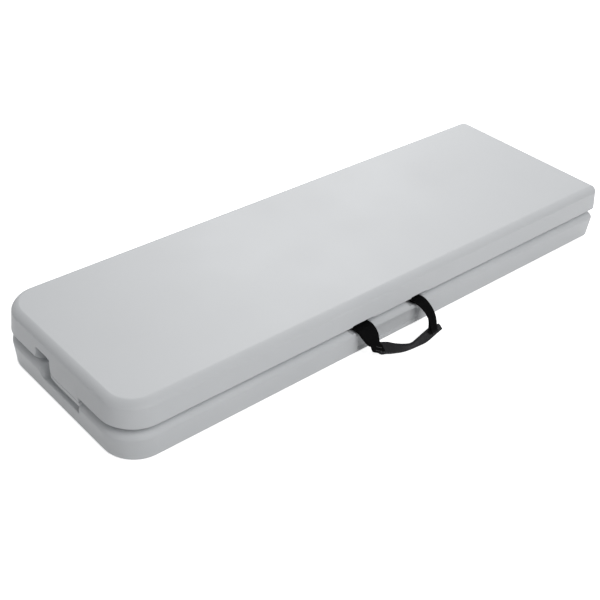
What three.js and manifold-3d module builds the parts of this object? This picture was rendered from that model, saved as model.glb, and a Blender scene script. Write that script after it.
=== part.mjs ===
// A six-foot folding bench, folded in half like a case and lying on one of its two seat faces.
// Millimetres. +X runs along the case towards the fold, +Y from front to rear, +Z up.
// The origin is the centre of the lower seat face.
import * as THREE from 'three';
import { mergeVertices } from 'three/addons/utils/BufferGeometryUtils.js';
import Module from 'manifold-3d';

const wasm = await Module();
wasm.setup();

// Overall sizes
const halfLength = 915;
const benchWidth = 300;
const halfHeight = 45;
const seatHeight = 430;
const legOpenAngle = 93;

// Gaps between pieces that touch on the real bench
const seamGap = 0.6;
const endGap = 1;
const seatedGap = 0.3;
const runningGap = 0.5;
const overrun = 6;

// Moulded seat panel
const deckThickness = 16;
const sideWall = 14;
const outerWall = 26;
const hingeWall = 25.5;
const outerCornerRadius = 50;
const hingeCornerRadius = 14;
const cavityCornerRadius = 26;
const cavityHingeRadius = 2;
const cavityDraft = 1;
const seatEdgeRadius = 7;
const wallDraft = 2.7;
const rimRadius = 7.5;
const smallestRadius = 1;
const tackPitchX = 70;
const tackRowInset = 78;
const tackRows = 3;
const tackMouthRadius = 12;
const tackFloorRadius = 8;
const tackDepth = 8;
const tackMargin = 34;

// Finger notch in the outer end, cut into both rims
const notchWidth = 100;
const notchRise = 17;
const notchDepth = 10;
const notchCheekRadius = 9.5;
const notchFillet = 3;

// Handle recess in the front wall of the lower half
const recessLength = 121;
const recessShiftX = -14.5;
const recessFloorLip = 6;
const recessTop = 34;
const recessDepth = 6.5;
const recessRadius = 7;
const recessDraft = 2.5;

// Side rails, folded from sheet into a box section
const railWidth = 16;
const railHeight = 20;
const railWall = 1.5;
const railCorner = 2;
const railSideGap = 0.8;
const railOuterSetback = 28;
const railHingeSetback = 2;

// Fold hinge: lugs in the rail ends and a pin through each pair
const lugTail = 30;
const lugEarRadius = 8.5;
const foldPinRadius = 4;
const foldPinHeadRadius = 6.5;
const foldPinHead = 1.4;
const slotInnerGap = 0.9;
const slotOuterGap = 0.5;
const slotSill = 1;

// Leg frame: a tube bent to a U, its closed end turning in two saddle clamps
const legTubeRadius = 11;
const legRailGap = 2.7;
const legBendRadius = 38;
const legPivotSetback = 85.5;
const legPivotHeight = 30.4;
const stretcherRadius = 8;
const stretcherFootGap = 70;
const weldGap = 0.3;

// Foot caps
const capRadius = 13.5;
const capTaper = 0.8;
const capLength = 30;
const capFloor = 5;
const capRound = 3;
const capBoreGap = 0.4;

// Saddle clamps
const saddleThickness = 2.2;
const saddleWidth = 26;
const saddleBendGap = 1;
const saddleFlange = 16;

// Folding side braces
const braceReachShare = 0.425;
const braceOffset = 30;
const linkThickness = 3;
const linkRadius = 7.5;
const linkHoleGap = 0.3;
const braceRivetRadius = 3;
const rivetHeadRadius = 6;
const rivetHead = 2;
const linkTubeGap = 0.6;
const washerGap = 2.6;
const bracketThickness = 2.8;
const bracketEarRadius = 9;
const bracketLength = 40;
const bracketFoot = 24;

// Spring clips that hold the folded leg
const clipLength = 18;
const clipJaw = 3;
const clipTopRise = 6;
const clipLeadIn = 2;

// Carry handle of webbing
const strapPitch = 109;
const strapShiftX = -13;
const strapWidth = 31;
const strapThickness = 2;
const webbingCornerShare = 1 / 3;
const strapNotchSide = 7;
const strapNotchDepth = 4.6;
const strapNotchRadius = 1.5;
const handleDrop = 35;
const gripWidth = 17;
const gripThickness = 6;
const retainerWidth = 8;
const retainerThickness = 2;
const retainerOverhang = 6;

// Facet counts
const outerCornerSteps = 8;
const hingeCornerSteps = 4;
const edgeSteps = 4;
const rimSteps = 4;
const tubeSides = 16;
const copeSides = 32;
const bendSteps = 6;
const capSteps = 2;
const chamferSteps = 1;
const smallSteps = 2;
const tackSides = 10;
const pinSides = 16;
const rivetSides = 10;
const earSteps = 10;
const loopSteps = 44;

// Places worked out from the sizes
const outerX = -halfLength / 2;
const hingeX = halfLength / 2;
const foldAxisX = hingeX + endGap / 2;
const rimZ = halfHeight - seamGap / 2;
const cavitySide = benchWidth / 2 - sideWall;
const cavityOuterX = outerX + outerWall;
const cavityHingeX = hingeX - hingeWall;
const tackPitchY = (2 * (cavitySide - tackRowInset)) / (tackRows - 1);
const railOuterY = cavitySide - cavityDraft - railSideGap;
const railInnerY = railOuterY - railWidth;
const railBottom = deckThickness + seatedGap;
const railTop = railBottom + railHeight;
const railStartX = cavityOuterX + railOuterSetback;
const railEndX = cavityHingeX - railHingeSetback;
const pivotX = outerX + legPivotSetback;
const legY = railInnerY - legRailGap - capRadius;
const saddleY = legY - legBendRadius - saddleBendGap - saddleWidth / 2;
const deckBelowPivot = deckThickness + seatedGap - legPivotHeight;
const quarterTurn = Math.PI / 2;
const openAngle = THREE.MathUtils.degToRad(legOpenAngle);
const capTilt = (capRadius - capRound) * Math.abs(Math.cos(openAngle));
const legReach = (seatHeight - legPivotHeight - capTilt) / Math.sin(openAngle);
const legTubeEnd = legReach - capFloor - seatedGap;
const stretcherReach = legReach - capLength - stretcherFootGap;
const braceLegReach = legReach * braceReachShare;
const bracePanelReach = braceLegReach + braceOffset;
const clipReach = (bracePanelReach + stretcherReach) / 2;

// Length of each brace link: straight at full opening, folded back on itself when closed
const braceSpan = Math.sqrt(
  braceLegReach ** 2 + bracePanelReach ** 2 - 2 * braceLegReach * bracePanelReach * Math.cos(openAngle),
);
const panelLinkLength = (braceSpan + bracePanelReach - braceLegReach) / 2;
const legLinkLength = braceSpan - panelLinkLength;
const kneeReach = bracePanelReach - panelLinkLength;

// Planes of the brace pieces, measured from the middle of the bench outwards
const legLinkY = legY - legTubeRadius - linkTubeGap - linkThickness;
const panelLinkY = legLinkY - washerGap - linkThickness;
const bracketEarY = panelLinkY - seatedGap - bracketThickness;

// Facing the pieces: merged corners, no flat triangles, faces pointing out
function signedVolume(points, index) {
  const corner = [new THREE.Vector3(), new THREE.Vector3(), new THREE.Vector3()];
  let sum = 0;
  for (let i = 0; i < index.length; i += 3) {
    corner.forEach((v, k) => v.fromBufferAttribute(points, index[i + k]));
    sum += corner[0].dot(corner[1].cross(corner[2]));
  }
  return sum;
}

function closed(geometry) {
  const bare = geometry.clone();
  bare.deleteAttribute('normal');
  bare.deleteAttribute('uv');
  const merged = mergeVertices(bare);
  const index = [];
  for (let i = 0; i < merged.index.count; i += 3) {
    const [a, b, c] = [0, 1, 2].map((k) => merged.index.getX(i + k));
    if (a !== b && b !== c && c !== a) index.push(a, b, c);
  }
  if (signedVolume(merged.attributes.position, index) < 0) index.reverse();
  merged.setIndex(index);
  return merged;
}

// Booleans
function solidOf(geometry) {
  const body = closed(geometry);
  return new wasm.Manifold(
    new wasm.Mesh({
      numProp: 3,
      vertProperties: new Float32Array(body.attributes.position.array),
      triVerts: new Uint32Array(body.index.array),
    }),
  );
}

function geometryOf(solid) {
  const mesh = solid.getMesh();
  const geometry = new THREE.BufferGeometry();
  geometry.setAttribute('position', new THREE.BufferAttribute(new Float32Array(mesh.vertProperties), 3));
  geometry.setIndex(new THREE.BufferAttribute(new Uint32Array(mesh.triVerts), 1));
  return geometry;
}

function cut(geometry, tools) {
  const body = tools.reduce((left, tool) => left.subtract(solidOf(tool)), solidOf(geometry));
  return geometryOf(body);
}

function join(first, second) {
  return geometryOf(solidOf(first).add(solidOf(second)));
}

// A rectangle outline with its own corner radius at each end of u, anticlockwise
function outline({ u0, u1, v0, v1, r0, r1 = r0, steps0 = smallSteps, steps1 = steps0 }) {
  const corners = [
    [u0 + r0, v0 + r0, r0, steps0, 2],
    [u1 - r1, v0 + r1, r1, steps1, 3],
    [u1 - r1, v1 - r1, r1, steps1, 0],
    [u0 + r0, v1 - r0, r0, steps0, 1],
  ];
  const points = [];
  for (const [u, v, r, steps, quarter] of corners) {
    for (let i = 0; i <= steps; i += 1) {
      const angle = (quarter + i / steps) * quarterTurn;
      points.push(new THREE.Vector2(u + r * Math.cos(angle), v + r * Math.sin(angle)));
    }
  }
  return points;
}

function circle(u, v, radius, sides) {
  const points = [];
  for (let i = 0; i < sides; i += 1) {
    const angle = (2 * Math.PI * i) / sides;
    points.push(new THREE.Vector2(u + radius * Math.cos(angle), v + radius * Math.sin(angle)));
  }
  return points;
}

// An outline laid in a plane of constant z, or of constant y
const atZ = (points, z) => points.map((p) => new THREE.Vector3(p.x, p.y, z));
const atY = (points, y) => points.map((p) => new THREE.Vector3(p.x, y, p.y));

// A closed skin over rings that all have the same number of points
function skin(rings) {
  const sides = rings[0].length;
  const points = rings.flat();
  const index = [];
  for (let k = 0; k + 1 < rings.length; k += 1) {
    for (let i = 0; i < sides; i += 1) {
      const j = (i + 1) % sides;
      const [a, b] = [k * sides + i, k * sides + j];
      index.push(a, b, b + sides, a, b + sides, a + sides);
    }
  }
  const ends = [rings[0], rings[rings.length - 1]];
  ends.forEach((ring, end) => {
    const middle = ring.reduce((sum, p) => sum.add(p), new THREE.Vector3()).divideScalar(sides);
    const centre = points.push(middle) - 1;
    const first = end * (rings.length - 1) * sides;
    for (let i = 0; i < sides; i += 1) {
      const [a, b] = [first + i, first + ((i + 1) % sides)];
      index.push(...(end ? [a, b, centre] : [b, a, centre]));
    }
  });
  const geometry = new THREE.BufferGeometry().setFromPoints(points);
  geometry.setIndex(index);
  return geometry;
}

// A shape drawn in the y-z plane and drawn out along X, or drawn in x-z and drawn out along Y
const axisX = new THREE.Vector3(1, 0, 0);
const axisY = new THREE.Vector3(0, 1, 0);
const axisZ = new THREE.Vector3(0, 0, 1);

function extruded(shape, depth, curveSegments) {
  return new THREE.ExtrudeGeometry(shape, { depth, bevelEnabled: false, curveSegments });
}

function alongX(shape, x0, x1, curveSegments = bendSteps) {
  const geometry = extruded(shape, x1 - x0, curveSegments);
  geometry.applyMatrix4(new THREE.Matrix4().makeBasis(axisY, axisZ, axisX));
  return geometry.translate(x0, 0, 0);
}

function alongY(shape, y0, y1, curveSegments = bendSteps) {
  const geometry = extruded(shape, y1 - y0, curveSegments);
  geometry.applyMatrix4(new THREE.Matrix4().makeBasis(axisX, axisZ, axisY.clone().negate()));
  return geometry.translate(0, y1, 0);
}

// A turned piece: radius and height pairs spun about Y
function turned(profile, sides) {
  return new THREE.LatheGeometry(profile.map(([r, h]) => new THREE.Vector2(r, h)), sides);
}

// A ring-by-ring sweep: at each station a unit outline scaled to the section there
function swept(stations) {
  return skin(
    stations.map(({ at, across, up, points }) =>
      points.map((p) => at.clone().addScaledVector(across, p.x).addScaledVector(up, p.y)),
    ),
  );
}

// A round tube through points that lie in one level plane
function levelTube(points, radius) {
  return swept(
    points.map((at, i) => {
      const before = points[Math.max(i - 1, 0)];
      const after = points[Math.min(i + 1, points.length - 1)];
      const along = after.clone().sub(before).normalize();
      const across = axisZ.clone().cross(along);
      return { at, across, up: axisZ, points: circle(0, 0, radius, tubeSides) };
    }),
  );
}

// Finishes
const finishes = {
  panel: { color: 0xcdd0d4, roughness: 0.55, metalness: 0 },
  steel: { color: 0x8f9499, roughness: 0.45, metalness: 0.6 },
  zinc: { color: 0xb9bcc0, roughness: 0.35, metalness: 0.9 },
  rubber: { color: 0x2b2c2e, roughness: 0.8, metalness: 0 },
  webbing: { color: 0x17181a, roughness: 0.9, metalness: 0 },
  grip: { color: 0x2c2e30, roughness: 0.9, metalness: 0 },
};

function piece(name, geometry, finish) {
  const body = closed(geometry);
  body.computeVertexNormals();
  const mesh = new THREE.Mesh(body, new THREE.MeshStandardMaterial(finishes[finish]));
  mesh.name = name;
  return mesh;
}

// The moulded panel's outside, ring by ring from the seat face to the rim
function panelSection() {
  const rings = [];
  for (let i = 0; i <= edgeSteps; i += 1) {
    const angle = (i / edgeSteps) * quarterTurn;
    const inset = wallDraft + seatEdgeRadius * (1 - Math.sin(angle));
    rings.push({ inset, z: seatEdgeRadius * (1 - Math.cos(angle)) });
  }
  for (let i = 0; i <= rimSteps; i += 1) {
    const angle = (i / rimSteps) * quarterTurn;
    rings.push({ inset: rimRadius * (1 - Math.cos(angle)), z: rimZ - rimRadius * (1 - Math.sin(angle)) });
  }
  return rings;
}

function panelBlank() {
  return skin(
    panelSection().map(({ inset, z }) =>
      atZ(
        outline({
          u0: outerX + inset,
          u1: hingeX - inset,
          v0: inset - benchWidth / 2,
          v1: benchWidth / 2 - inset,
          r0: Math.max(outerCornerRadius - inset, smallestRadius),
          r1: Math.max(hingeCornerRadius - inset, smallestRadius),
          steps0: outerCornerSteps,
          steps1: hingeCornerSteps,
        }),
        z,
      ),
    ),
  );
}

// The space inside for the folded legs
function panelCavity() {
  const level = (inset, z) =>
    atZ(
      outline({
        u0: cavityOuterX + inset,
        u1: cavityHingeX - inset,
        v0: inset - cavitySide,
        v1: cavitySide - inset,
        r0: cavityCornerRadius,
        r1: cavityHingeRadius,
        steps0: edgeSteps,
        steps1: smallSteps,
      }),
      z,
    );
  return skin([level(cavityDraft, deckThickness), level(0, rimZ), level(0, rimZ + overrun)]);
}

// Cone-shaped tack-offs that tie the underside to the seat skin
function tackOffs() {
  const first = pivotX + legTubeRadius + saddleFlange + tackMargin;
  const last = cavityHingeX - tackMargin;
  const columns = Math.floor((last - first) / tackPitchX) + 1;
  const tools = [];
  for (let i = 0; i < columns; i += 1) {
    for (let j = 0; j < tackRows; j += 1) {
      const x = first + i * tackPitchX;
      const y = (j - (tackRows - 1) / 2) * tackPitchY;
      tools.push(
        skin([
          atZ(circle(x, y, tackFloorRadius, tackSides), deckThickness - tackDepth),
          atZ(circle(x, y, tackMouthRadius, tackSides), deckThickness),
          atZ(circle(x, y, tackMouthRadius, tackSides), deckThickness + overrun),
        ]),
      );
    }
  }
  return tools;
}

function endNotch() {
  const level = (inset, z) =>
    atZ(
      outline({
        u0: outerX - notchDepth + inset,
        u1: outerX + notchDepth - inset,
        v0: inset - notchWidth / 2,
        v1: notchWidth / 2 - inset,
        r0: notchCheekRadius - inset,
        steps0: edgeSteps,
      }),
      z,
    );
  const floor = rimZ - notchRise;
  return skin([level(notchFillet, floor), level(0, floor + notchFillet), level(0, rimZ + overrun)]);
}

function handleRecess() {
  const level = (inset, y) =>
    atY(
      outline({
        u0: recessShiftX - recessLength / 2 + inset,
        u1: recessShiftX + recessLength / 2 - inset,
        v0: recessFloorLip + inset,
        v1: recessTop - inset,
        r0: recessRadius - inset,
        steps0: edgeSteps,
      }),
      y,
    );
  const mouth = -benchWidth / 2;
  const floor = mouth + recessDepth;
  return skin([level(0, mouth - overrun), level(0, floor - recessDraft), level(recessDraft, floor)]);
}

const strapX = [strapShiftX - strapPitch / 2, strapShiftX + strapPitch / 2];

function strapNotch(x) {
  const reach = strapWidth / 2 + strapNotchSide;
  const points = outline({
    u0: x - reach,
    u1: x + reach,
    v0: rimZ - strapNotchDepth,
    v1: rimZ + overrun,
    r0: strapNotchRadius,
  });
  return skin([atY(points, -benchWidth / 2 - overrun), atY(points, -cavitySide + overrun)]);
}

// Slots in the hinge end wall that the lugs of both halves stand in
function hingeSlot(side) {
  const inner = railInnerY - slotInnerGap;
  const outer = railOuterY + slotOuterGap;
  const points = outline({
    u0: cavityHingeX - overrun,
    u1: hingeX + overrun,
    v0: Math.min(side * inner, side * outer),
    v1: Math.max(side * inner, side * outer),
    r0: smallestRadius,
    steps0: chamferSteps,
  });
  return skin([atZ(points, deckThickness + slotSill), atZ(points, rimZ + overrun)]);
}

function seatPanel(hasHandle) {
  const tools = [panelCavity(), ...tackOffs(), endNotch(), hingeSlot(-1), hingeSlot(1)];
  if (hasHandle) tools.push(handleRecess(), ...strapX.map(strapNotch));
  return cut(panelBlank(), tools);
}

// Side rail, a box section open at both ends
function sideRail(side) {
  const middle = (side * (railOuterY + railInnerY)) / 2;
  const box = (inset) => ({
    u0: middle - railWidth / 2 + inset,
    u1: middle + railWidth / 2 - inset,
    v0: railBottom + inset,
    v1: railTop - inset,
    r0: railCorner - inset,
    steps0: chamferSteps,
  });
  const section = new THREE.Shape(outline(box(0)));
  section.holes.push(new THREE.Path(outline(box(railWall))));
  return alongX(section, railStartX, railEndX);
}

// Angle on a circle where the line from a point touches it
function touchAngle(px, pz, cx, cz, radius, turn) {
  const back = Math.atan2(pz - cz, px - cx);
  return back + turn * Math.acos(radius / Math.hypot(px - cx, pz - cz));
}

// Hinge lug: a flat plate welded in the rail end, with a round ear on the fold axis
const lugY0 = railInnerY + railWall + seatedGap;
const lugY1 = railOuterY - railWall - seatedGap;
const lugThickness = (lugY1 - lugY0 - runningGap) / 2;

function hingeLug(side, outerPlane) {
  const low = railBottom + railWall + seatedGap;
  const high = railTop - railWall - seatedGap;
  const shape = new THREE.Shape();
  shape.moveTo(railEndX - lugTail, low);
  shape.lineTo(railEndX, low);
  shape.absarc(
    foldAxisX,
    halfHeight,
    lugEarRadius,
    touchAngle(railEndX, low, foldAxisX, halfHeight, lugEarRadius, 1),
    touchAngle(railEndX, high, foldAxisX, halfHeight, lugEarRadius, -1),
    false,
  );
  shape.lineTo(railEndX, high);
  shape.lineTo(railEndX - lugTail, high);
  shape.closePath();
  const hole = new THREE.Path(circle(foldAxisX, halfHeight, foldPinRadius + runningGap, pinSides));
  shape.holes.push(hole);
  const near = outerPlane ? lugY1 - lugThickness : lugY0;
  const ends = [side * near, side * (near + lugThickness)];
  return alongY(shape, Math.min(...ends), Math.max(...ends), earSteps);
}

function foldPin(side) {
  const shank0 = lugY0 - seatedGap;
  const shank1 = lugY1 + seatedGap;
  const pin = turned(
    [
      [0, shank0 - foldPinHead],
      [foldPinHeadRadius, shank0 - foldPinHead],
      [foldPinHeadRadius, shank0],
      [foldPinRadius, shank0],
      [foldPinRadius, shank1],
      [foldPinHeadRadius, shank1],
      [foldPinHeadRadius, shank1 + foldPinHead],
      [0, shank1 + foldPinHead],
    ],
    pinSides,
  );
  pin.translate(foldAxisX, 0, halfHeight);
  return side < 0 ? pin.applyMatrix4(new THREE.Matrix4().makeScale(1, -1, 1)) : pin;
}

// Leg tube, in its own frame: the pivot line is Y and the legs lie along +X
function legTube() {
  const points = [new THREE.Vector3(legTubeEnd, -legY, 0)];
  for (let i = 0; i <= bendSteps; i += 1) {
    const angle = -quarterTurn * (1 + i / bendSteps);
    points.push(
      new THREE.Vector3(
        legBendRadius + legBendRadius * Math.cos(angle),
        -legY + legBendRadius + legBendRadius * Math.sin(angle),
        0,
      ),
    );
  }
  const mirrored = points.map((p) => new THREE.Vector3(p.x, -p.y, p.z)).reverse();
  return levelTube([...points, ...mirrored], legTubeRadius);
}

function legStretcher() {
  const bar = new THREE.CylinderGeometry(stretcherRadius, stretcherRadius, legY * 2, tubeSides);
  bar.translate(stretcherReach, 0, 0);
  const copes = [-legY, legY].map((y) => {
    const radius = legTubeRadius + weldGap;
    const cope = new THREE.CylinderGeometry(radius, radius, (stretcherRadius + overrun) * 2, copeSides);
    return cope.rotateZ(quarterTurn).translate(stretcherReach, y, 0);
  });
  return cut(bar, copes);
}

function footCap(side) {
  const bore = legTubeRadius + capBoreGap;
  const profile = [
    [0, legReach - capFloor],
    [bore, legReach - capFloor],
    [bore, legReach - capLength],
    [capRadius - capTaper, legReach - capLength],
  ];
  for (let i = 0; i <= capSteps; i += 1) {
    const angle = (i / capSteps) * quarterTurn;
    profile.push([
      capRadius - capRound * (1 - Math.cos(angle)),
      legReach - capRound * (1 - Math.sin(angle)),
    ]);
  }
  profile.push([0, legReach]);
  return turned(profile, tubeSides).rotateZ(-quarterTurn).translate(0, side * legY, 0);
}

// Saddle clamp: a strip bent over the closed end of the U, flanges flat on the panel
function saddleClamp(side) {
  const inner = legTubeRadius + runningGap;
  const outer = inner + saddleThickness;
  const reach = outer + saddleFlange;
  const shape = new THREE.Shape();
  shape.moveTo(-reach, deckBelowPivot);
  shape.lineTo(-inner, deckBelowPivot);
  shape.lineTo(-inner, 0);
  shape.absarc(0, 0, inner, Math.PI, 0, true);
  shape.lineTo(inner, deckBelowPivot);
  shape.lineTo(reach, deckBelowPivot);
  shape.lineTo(reach, deckBelowPivot + saddleThickness);
  shape.lineTo(outer, deckBelowPivot + saddleThickness);
  shape.lineTo(outer, 0);
  shape.absarc(0, 0, outer, 0, Math.PI, false);
  shape.lineTo(-outer, deckBelowPivot + saddleThickness);
  shape.lineTo(-reach, deckBelowPivot + saddleThickness);
  shape.closePath();
  const middle = side * saddleY;
  return alongY(shape, middle - saddleWidth / 2, middle + saddleWidth / 2, earSteps);
}

// A flat strip of plate with round ends and a hole at each end
function link(x0, x1) {
  const shape = new THREE.Shape();
  shape.absarc(x1, 0, linkRadius, -quarterTurn, quarterTurn, false);
  shape.absarc(x0, 0, linkRadius, quarterTurn, quarterTurn * 3, false);
  shape.closePath();
  for (const x of [x0, x1]) {
    shape.holes.push(new THREE.Path(circle(x, 0, braceRivetRadius + linkHoleGap, rivetSides)));
  }
  return shape;
}

// Plates stand at y on the side given: y is measured outwards from the middle of the bench
function standing(shape, side, y, thickness) {
  const ends = [side * y, side * (y + thickness)];
  return alongY(shape, Math.min(...ends), Math.max(...ends));
}

const panelLink = (side) => standing(link(kneeReach, bracePanelReach), side, panelLinkY, linkThickness);
const legLink = (side) => standing(link(kneeReach, braceLegReach), side, legLinkY, linkThickness);

function braceBracket(side) {
  const x = bracePanelReach;
  const reach = bracketLength / 2;
  const ear = new THREE.Shape();
  ear.moveTo(x - reach, deckBelowPivot);
  ear.lineTo(x + reach, deckBelowPivot);
  ear.absarc(
    x,
    0,
    bracketEarRadius,
    touchAngle(x + reach, deckBelowPivot, x, 0, bracketEarRadius, 1),
    touchAngle(x - reach, deckBelowPivot, x, 0, bracketEarRadius, -1),
    false,
  );
  ear.closePath();
  ear.holes.push(new THREE.Path(circle(x, 0, braceRivetRadius + linkHoleGap, rivetSides)));
  const foot = new THREE.BoxGeometry(bracketLength, bracketFoot, bracketThickness);
  foot.translate(
    x,
    side * (bracketEarY + bracketThickness - bracketFoot / 2),
    deckBelowPivot + bracketThickness / 2,
  );
  return join(standing(ear, side, bracketEarY, bracketThickness), foot);
}

// A rivet along Y: heads or a collar outside the plates, a shank through them
function rivet(x, side, steps) {
  const profile = [[0, steps[0][1]], ...steps, [0, steps[steps.length - 1][1]]];
  const body = turned(profile, rivetSides).translate(x, 0, 0);
  return side < 0 ? body.applyMatrix4(new THREE.Matrix4().makeScale(1, -1, 1)) : body;
}

function headedRivet(x, side, y0, y1, outerHead) {
  const steps = [
    [rivetHeadRadius, y0 - rivetHead],
    [rivetHeadRadius, y0],
    [braceRivetRadius, y0],
    [braceRivetRadius, y1],
  ];
  if (outerHead > 0) steps.push([rivetHeadRadius, y1], [rivetHeadRadius, y1 + outerHead]);
  return rivet(x, side, steps);
}

// Through the bracket ear and the panel link, with a head on both outsides
const bracketRivet = (side) =>
  headedRivet(
    bracePanelReach,
    side,
    bracketEarY - seatedGap,
    panelLinkY + linkThickness + seatedGap,
    rivetHead - seatedGap,
  );

// Through the panel link, with the spacing collar that the leg link bears on
const kneeRivet = (side) =>
  headedRivet(
    kneeReach,
    side,
    panelLinkY - seatedGap,
    panelLinkY + linkThickness + seatedGap,
    washerGap - seatedGap * 2,
  );

// Through the leg link to the leg tube
const legRivet = (side) =>
  headedRivet(braceLegReach, side, legLinkY - seatedGap, legY - legTubeRadius - seatedGap, 0);

// Spring clip: a moulded U on the panel that the folded leg tube presses into
function legClip(side) {
  const inner = legTubeRadius + runningGap;
  const outer = inner + clipJaw;
  const floor = -legTubeRadius - runningGap;
  const shape = new THREE.Shape();
  shape.moveTo(-outer, deckBelowPivot);
  shape.lineTo(outer, deckBelowPivot);
  shape.lineTo(outer, clipTopRise);
  shape.lineTo(inner + clipLeadIn, clipTopRise);
  shape.lineTo(inner, clipTopRise - clipLeadIn);
  shape.lineTo(inner, 0);
  shape.absarc(0, 0, inner, 0, -Math.PI, true);
  shape.lineTo(-inner, clipTopRise - clipLeadIn);
  shape.lineTo(-inner - clipLeadIn, clipTopRise);
  shape.lineTo(-outer, clipTopRise);
  shape.closePath();
  const clip = alongX(shape, clipReach - clipLength / 2, clipReach + clipLength / 2, earSteps);
  return clip.translate(0, side * legY, 0);
}

// One half of the bench in its own frame: seat face down at z = 0, rim up
function benchHalf(half, turn) {
  const group = new THREE.Group();
  const place = (side) => (side * turn < 0 ? 'front' : 'rear');
  const sides = [-1, 1];
  const isLower = half === 'lower';
  group.add(piece(`${half}_seat_panel`, seatPanel(isLower), 'panel'));

  // Pieces given in the frame of the leg pivot
  const atPivot = new THREE.Group();
  atPivot.position.set(pivotX, 0, legPivotHeight);
  group.add(atPivot);
  atPivot.add(piece(`${half}_leg_tube`, legTube(), 'steel'));
  atPivot.add(piece(`${half}_leg_stretcher`, legStretcher(), 'steel'));

  for (const side of sides) {
    const label = (name) => `${half}_${place(side)}_${name}`;
    group.add(piece(label('side_rail'), sideRail(side), 'steel'));
    group.add(piece(label('hinge_lug'), hingeLug(side, isLower), 'steel'));
    if (isLower) group.add(piece(`${place(side)}_fold_pin`, foldPin(side), 'zinc'));
    atPivot.add(piece(label('saddle_clamp'), saddleClamp(side), 'steel'));
    atPivot.add(piece(label('foot_cap'), footCap(side), 'rubber'));
    atPivot.add(piece(label('brace_bracket'), braceBracket(side), 'steel'));
    atPivot.add(piece(label('bracket_rivet'), bracketRivet(side), 'zinc'));
    atPivot.add(piece(label('panel_link'), panelLink(side), 'steel'));
    atPivot.add(piece(label('knee_rivet'), kneeRivet(side), 'zinc'));
    atPivot.add(piece(label('leg_link'), legLink(side), 'steel'));
    atPivot.add(piece(label('leg_rivet'), legRivet(side), 'zinc'));
    atPivot.add(piece(label('leg_clip'), legClip(side), 'rubber'));
  }
  return group;
}

// Webbing tail: over the rim in its notch, then down on to the front rail
const notchFloorZ = rimZ - strapNotchDepth;
const tailOnRailZ = railTop + seatedGap + strapThickness / 2;
const tailInNotchZ = notchFloorZ + seatedGap + strapThickness / 2;
const tailEndY = -railInnerY - railCorner / 2;
const tailBendY = tailEndY - retainerWidth - strapThickness;
const tailWallY = strapThickness - cavitySide;
const strapTurnReach = strapThickness / 2 + seatedGap;
const handleAxisY = -benchWidth / 2;

function strapTail(x) {
  const run = [
    [tailEndY, tailOnRailZ],
    [tailBendY, tailOnRailZ],
    [tailWallY, tailInNotchZ],
    [handleAxisY + strapTurnReach, tailInNotchZ],
  ];
  const half = strapThickness / 2;
  const upper = run.map(([y, z]) => new THREE.Vector2(y, z + half));
  const lower = run.map(([y, z]) => new THREE.Vector2(y, z - half)).reverse();
  return alongX(new THREE.Shape([...upper, ...lower]), x - strapWidth / 2, x + strapWidth / 2);
}

function retainerPlate(x) {
  const reach = strapWidth / 2 + retainerOverhang;
  const plate = new THREE.BoxGeometry(reach * 2, retainerWidth, retainerThickness);
  const z = tailOnRailZ + strapThickness / 2 + seatedGap + retainerThickness / 2;
  return plate.translate(x, tailEndY - retainerWidth / 2, z);
}

// The loop in its own plane: shares of the strap pitch along X and outwards from the rim
const loopShares = [
  [-0.5, 0],
  [-0.5, 0.14],
  [-0.485, 0.27],
  [-0.42, 0.36],
  [-0.27, 0.44],
  [-0.05, 0.5],
  [0.18, 0.51],
  [0.4, 0.49],
  [0.53, 0.42],
  [0.56, 0.3],
  [0.53, 0.16],
  [0.5, 0.06],
  [0.5, 0],
];
// Along the loop: how far the webbing is folded lengthwise, and how far it is rolled over
const foldShares = [0, 0, 0.35, 0.8, 1, 1, 1, 1, 0.9, 0.6, 0.2, 0, 0];
const rollShares = [0, 0, 0.1, 0.25, 0.55, 0.85, 0.85, 0.7, 0.6, 0.5, 0.2, 0, 0];
const gripStartShare = 0.27;
const gripEndShare = 0.69;

function alongShares(shares, share) {
  const place = share * (shares.length - 1);
  const i = Math.min(Math.floor(place), shares.length - 2);
  return THREE.MathUtils.lerp(shares[i], shares[i + 1], place - i);
}

const drop = THREE.MathUtils.degToRad(handleDrop);
const loopOut = new THREE.Vector3(0, -Math.cos(drop), -Math.sin(drop));
const loopNormal = axisX.clone().cross(loopOut).negate();
const loopStart = new THREE.Vector3(strapShiftX, handleAxisY, tailInNotchZ);
const loopCurve = new THREE.CatmullRomCurve3(
  loopShares.map(([u, v]) =>
    loopStart
      .clone()
      .addScaledVector(axisX, u * strapPitch)
      .addScaledVector(loopOut, v * strapPitch),
  ),
);

function loopStretch(from, to, sectionAt) {
  const steps = Math.round((to - from) * loopSteps);
  const stations = [];
  for (let i = 0; i <= steps; i += 1) {
    const share = THREE.MathUtils.lerp(from, to, i / steps);
    const along = loopCurve.getTangent(share);
    const flat = loopNormal.clone().cross(along);
    const roll = alongShares(rollShares, share) * quarterTurn;
    const across = flat.applyAxisAngle(along, roll);
    const up = along.clone().cross(across);
    stations.push({ at: loopCurve.getPoint(share), across, up, points: sectionAt(share) });
  }
  return swept(stations);
}

function flatSection(width, thickness) {
  return outline({
    u0: -width / 2,
    u1: width / 2,
    v0: -thickness / 2,
    v1: thickness / 2,
    r0: thickness * webbingCornerShare,
    steps0: chamferSteps,
  });
}

const strapSection = (share) => {
  const fold = alongShares(foldShares, share);
  return flatSection(
    THREE.MathUtils.lerp(strapWidth, gripWidth - strapThickness, fold),
    THREE.MathUtils.lerp(strapThickness, gripThickness - strapThickness, fold),
  );
};

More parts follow.
